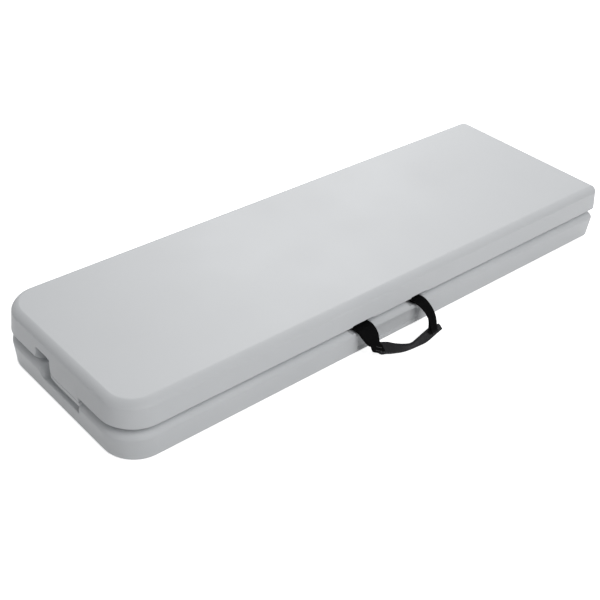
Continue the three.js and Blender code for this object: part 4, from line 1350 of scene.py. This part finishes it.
def weave_group():
    """Plain weave in the cloth's own centimetres: yarns across and along, a height and a mask."""
    group, given, out = effect_group("webbing_weave", [("Warp", 14.0), ("Weft", 9.0)], ("Height", "Tone"))
    cloth = add_node(group, "ShaderNodeUVMap", uv_map="cloth").outputs["UV"]
    parts = add_node(group, "ShaderNodeSeparateXYZ", {0: cloth})

    def maths(operation, *values):
        return add_node(group, "ShaderNodeMath", dict(enumerate(values)), operation=operation).outputs[0]

    across = maths("MULTIPLY", parts.outputs["X"], given.outputs["Warp"])
    along = maths("MULTIPLY", parts.outputs["Y"], given.outputs["Weft"])
    wave_u = maths("SINE", maths("MULTIPLY", across, math.pi))
    wave_v = maths("SINE", maths("MULTIPLY", along, math.pi))
    over = maths("MULTIPLY", wave_u, wave_v)
    raised = maths("ADD", maths("ABSOLUTE", wave_u), maths("MULTIPLY", over, 0.8))
    fuzz = add_node(group, "ShaderNodeTexNoise", {"Scale": 60.0, "Detail": 5.0, "Vector": cloth})
    feed(group, out, {
        "Height": maths("ADD", raised, maths("MULTIPLY", fuzz.outputs["Fac"], 0.7)),
        "Tone": maths("MULTIPLY", maths("ADD", raised, 0.8), 0.45),
    })
    return group


weave_cloth = weave_group()


def webbing_material(name, low, high, roughness, specular):
    """Webbing in two close tones, with its weave as colour and as bump."""
    material, tree, shader = new_material(name)
    weave = add_node(tree, "ShaderNodeGroup", {"Warp": 14.0, "Weft": 9.0}, node_tree=weave_cloth)
    feed(tree, shader, {
        "Base Color": two_tone(tree, weave.outputs["Tone"], low, high),
        "Normal": bumped(tree, weave.outputs["Height"], 0.5, 0.0002),
        "Roughness": roughness,
        "Specular IOR Level": specular,
    })
    return material


black_webbing = webbing_material(
    "black_webbing", (0.0015, 0.0015, 0.0017), (0.0035, 0.0035, 0.0038), 0.90, 0.06)
grip_webbing = webbing_material("grip_webbing", (0.008, 0.008, 0.009), (0.022, 0.022, 0.024), 0.75, 0.12)

cloth_spacing = 1.0
grip_run = smooth_pairs([(on_slope(*a), on_slope(*b)) for a, b in grip_pairs], cloth_spacing)
grip_length = grip_run[-1][2]
# The grip's width at its slanting left end, how much wider the rest is, and how soon
grip_end_width, grip_more, grip_taper = 29.0, 6.5, 16


def grip_width(at):
    """The grip's width across the cloth, so far from its left end."""
    return grip_end_width + grip_more * eased(at / grip_taper)


def on_grip(along, up, clear):
    """A place on the grip's outer face: so far along it, up from its open edge, and clear of it,
    with the way along the grip and the way out of it."""
    k = int(np.clip(np.searchsorted([s[2] for s in grip_run], along), 1, len(grip_run) - 2))
    low, here, high = grip_run[k - 1], grip_run[k], grip_run[k + 1]
    ahead = ((high[0] + high[1]) - (low[0] + low[1])).normalized()
    across = (here[1] - here[0]).normalized()
    outwards = ahead.cross(across).normalized()
    return here[0] + across * up + outwards * clear, ahead, outwards


grip_cloth = folded_band(grip_run, grip_width, grip_radius, grip_half, -1)
grip = as_piece("handle_grip_band", grip_cloth, grip_webbing, sharp=40)
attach(grip, "handle")
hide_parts("handle_grip")

strap_layer = 2 * webbing_half + 2 * fold_radius
face_clear = grip_half + 0.1
strap_clear = face_clear + strap_layer - webbing_half
# The straps' way over the rail and the rim, as Y and Z, and where they start to fold lengthwise
over_rim = ((-119.5, 37.6), (-125.0, 37.6), (-129.4, 40.2), (-134.0, 43.4), (-140.0, 43.8), (-146.5, 44.9))
narrow_from, narrow_run = -126, 11


def strap_run(side, pairs, landing_free, landing_fold, centre, free_x, fold_x):
    """The whole run of one strap: tail on the rail, over the rim, out, and down on to the grip."""
    inside = []
    for y, z in over_rim:
        share = eased((narrow_from - y) / narrow_run)
        flat = side * webbing_width / 2 * (1 - share)
        inside.append((Vector((centre - flat + (free_x - centre) * share, y, z)),
                       Vector((centre + flat + (fold_x - centre) * share, y, z))))
    outside = [(on_slope(*a), on_slope(*b)) for a, b in pairs]
    landing = [on_grip(*free, strap_clear)[0] for free in landing_free]
    return smooth_pairs([*inside, *outside, *zip(landing, landing_fold)], cloth_spacing)


left_landing = [on_slope(*spot) for spot in
                ((-74.6, 26.0, 3.4), (-74.2, 28.6, 1.8), (-73.8, 30.9, 0.5), (-73.4, 32.8, -0.6))]
right_landing = [on_grip(grip_length - 10.5, up, strap_clear)[0] for up in (16.5, 13.0, 9.5)]
straps = {
    "left": (strap_run(-1, left_pairs, [(7.6, 12.6), (8.2, 9.8), (8.8, 6.8), (9.0, 3.6)], left_landing,
                       strap_centres[0], -51.6, -82.2), 1),
    "right": (strap_run(1, right_pairs, [(grip_length - 25.0, up) for up in (16.5, 13.0, 9.5)], right_landing,
                        strap_centres[1], 29.2, 51.4), -1),
}
for label, (run, face_up) in straps.items():
    cloth = folded_band(run, lambda at: webbing_width, fold_radius, webbing_half, face_up)
    strap = as_piece(f"handle_webbing_{label}", cloth, black_webbing, sharp=40)
    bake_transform(strap)
    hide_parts(f"handle_strap_{label}", f"handle_tail_{label}")

thread = grained(
    "sewing_thread", (0.030, 0.030, 0.032), (0.060, 0.060, 0.064), 2600.0, 60.0, (0.5, 0.7), 0.3, 0.0001)


def stitch():
    """One stitch of thread lying along X, thin where it goes into the cloth at both ends."""
    half_profile = ((-1.35, 0.06), (-1.15, 0.2), (-0.7, 0.3), (0.0, 0.33))
    profile = [*half_profile, *[(-x, radius) for x, radius in half_profile[-2::-1]]]
    return mesh_of(*loft([[(x, radius * math.cos(turn), radius * math.sin(turn)) for turn in round_angles(10)]
                          for x, radius in profile]))


# A row along the grip's open edge and short rows across each strap's end, with the pitch of each
on_strap = face_clear + strap_layer + 0.05
long_pitch, left_pitch, right_pitch = 4.0, 3.1, 3.3
long_count = int((grip_length - 39.0) / long_pitch)
spots = [(12.0 + long_pitch * i, 2.4, face_clear - 0.05) for i in range(long_count)]
spots += [(2.2 + left_pitch * i, up, on_strap) for up in (4.6, 9.6) for i in range(3)]
spots += [(grip_length - 23.0 + right_pitch * i, up, on_strap) for up in (10.6, 15.0) for i in range(4)]
places = [on_grip(*spot) for spot in spots]
stitches = repeated("handle_stitches", stitch(), places, thread)
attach(stitches, "handle")

# Retainer plates. Two zinc-plated strips, cut and drilled, which are screwed down across the
# webbing tails on the front rail and clamp them there.
retainer_length, retainer_width, retainer_strip = 43.0, 8.0, 2.0
retainer_y, retainer_z, retainer_screw = -123.2, 38.9, 18.5

places = []
for label, centre in zip(("left", "right"), strap_centres):
    outline = [(centre + u, retainer_y + v) for u, v in rounded_box(retainer_length, retainer_width, 2.5)]
    flat = plate(outline, [], retainer_z, retainer_z + retainer_strip, 0.4)
    strip = as_piece(f"handle_retainer_{label}_plate", mesh_of(*flat), zinc)
    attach(strip, "lower_half")
    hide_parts(f"handle_retainer_{label}")
    places += [upright(centre + x, retainer_y, retainer_z + retainer_strip)
               for x in (-retainer_screw, retainer_screw)]
screws = screws_at("retainer_screws", places, 21)
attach(screws, "lower_half")
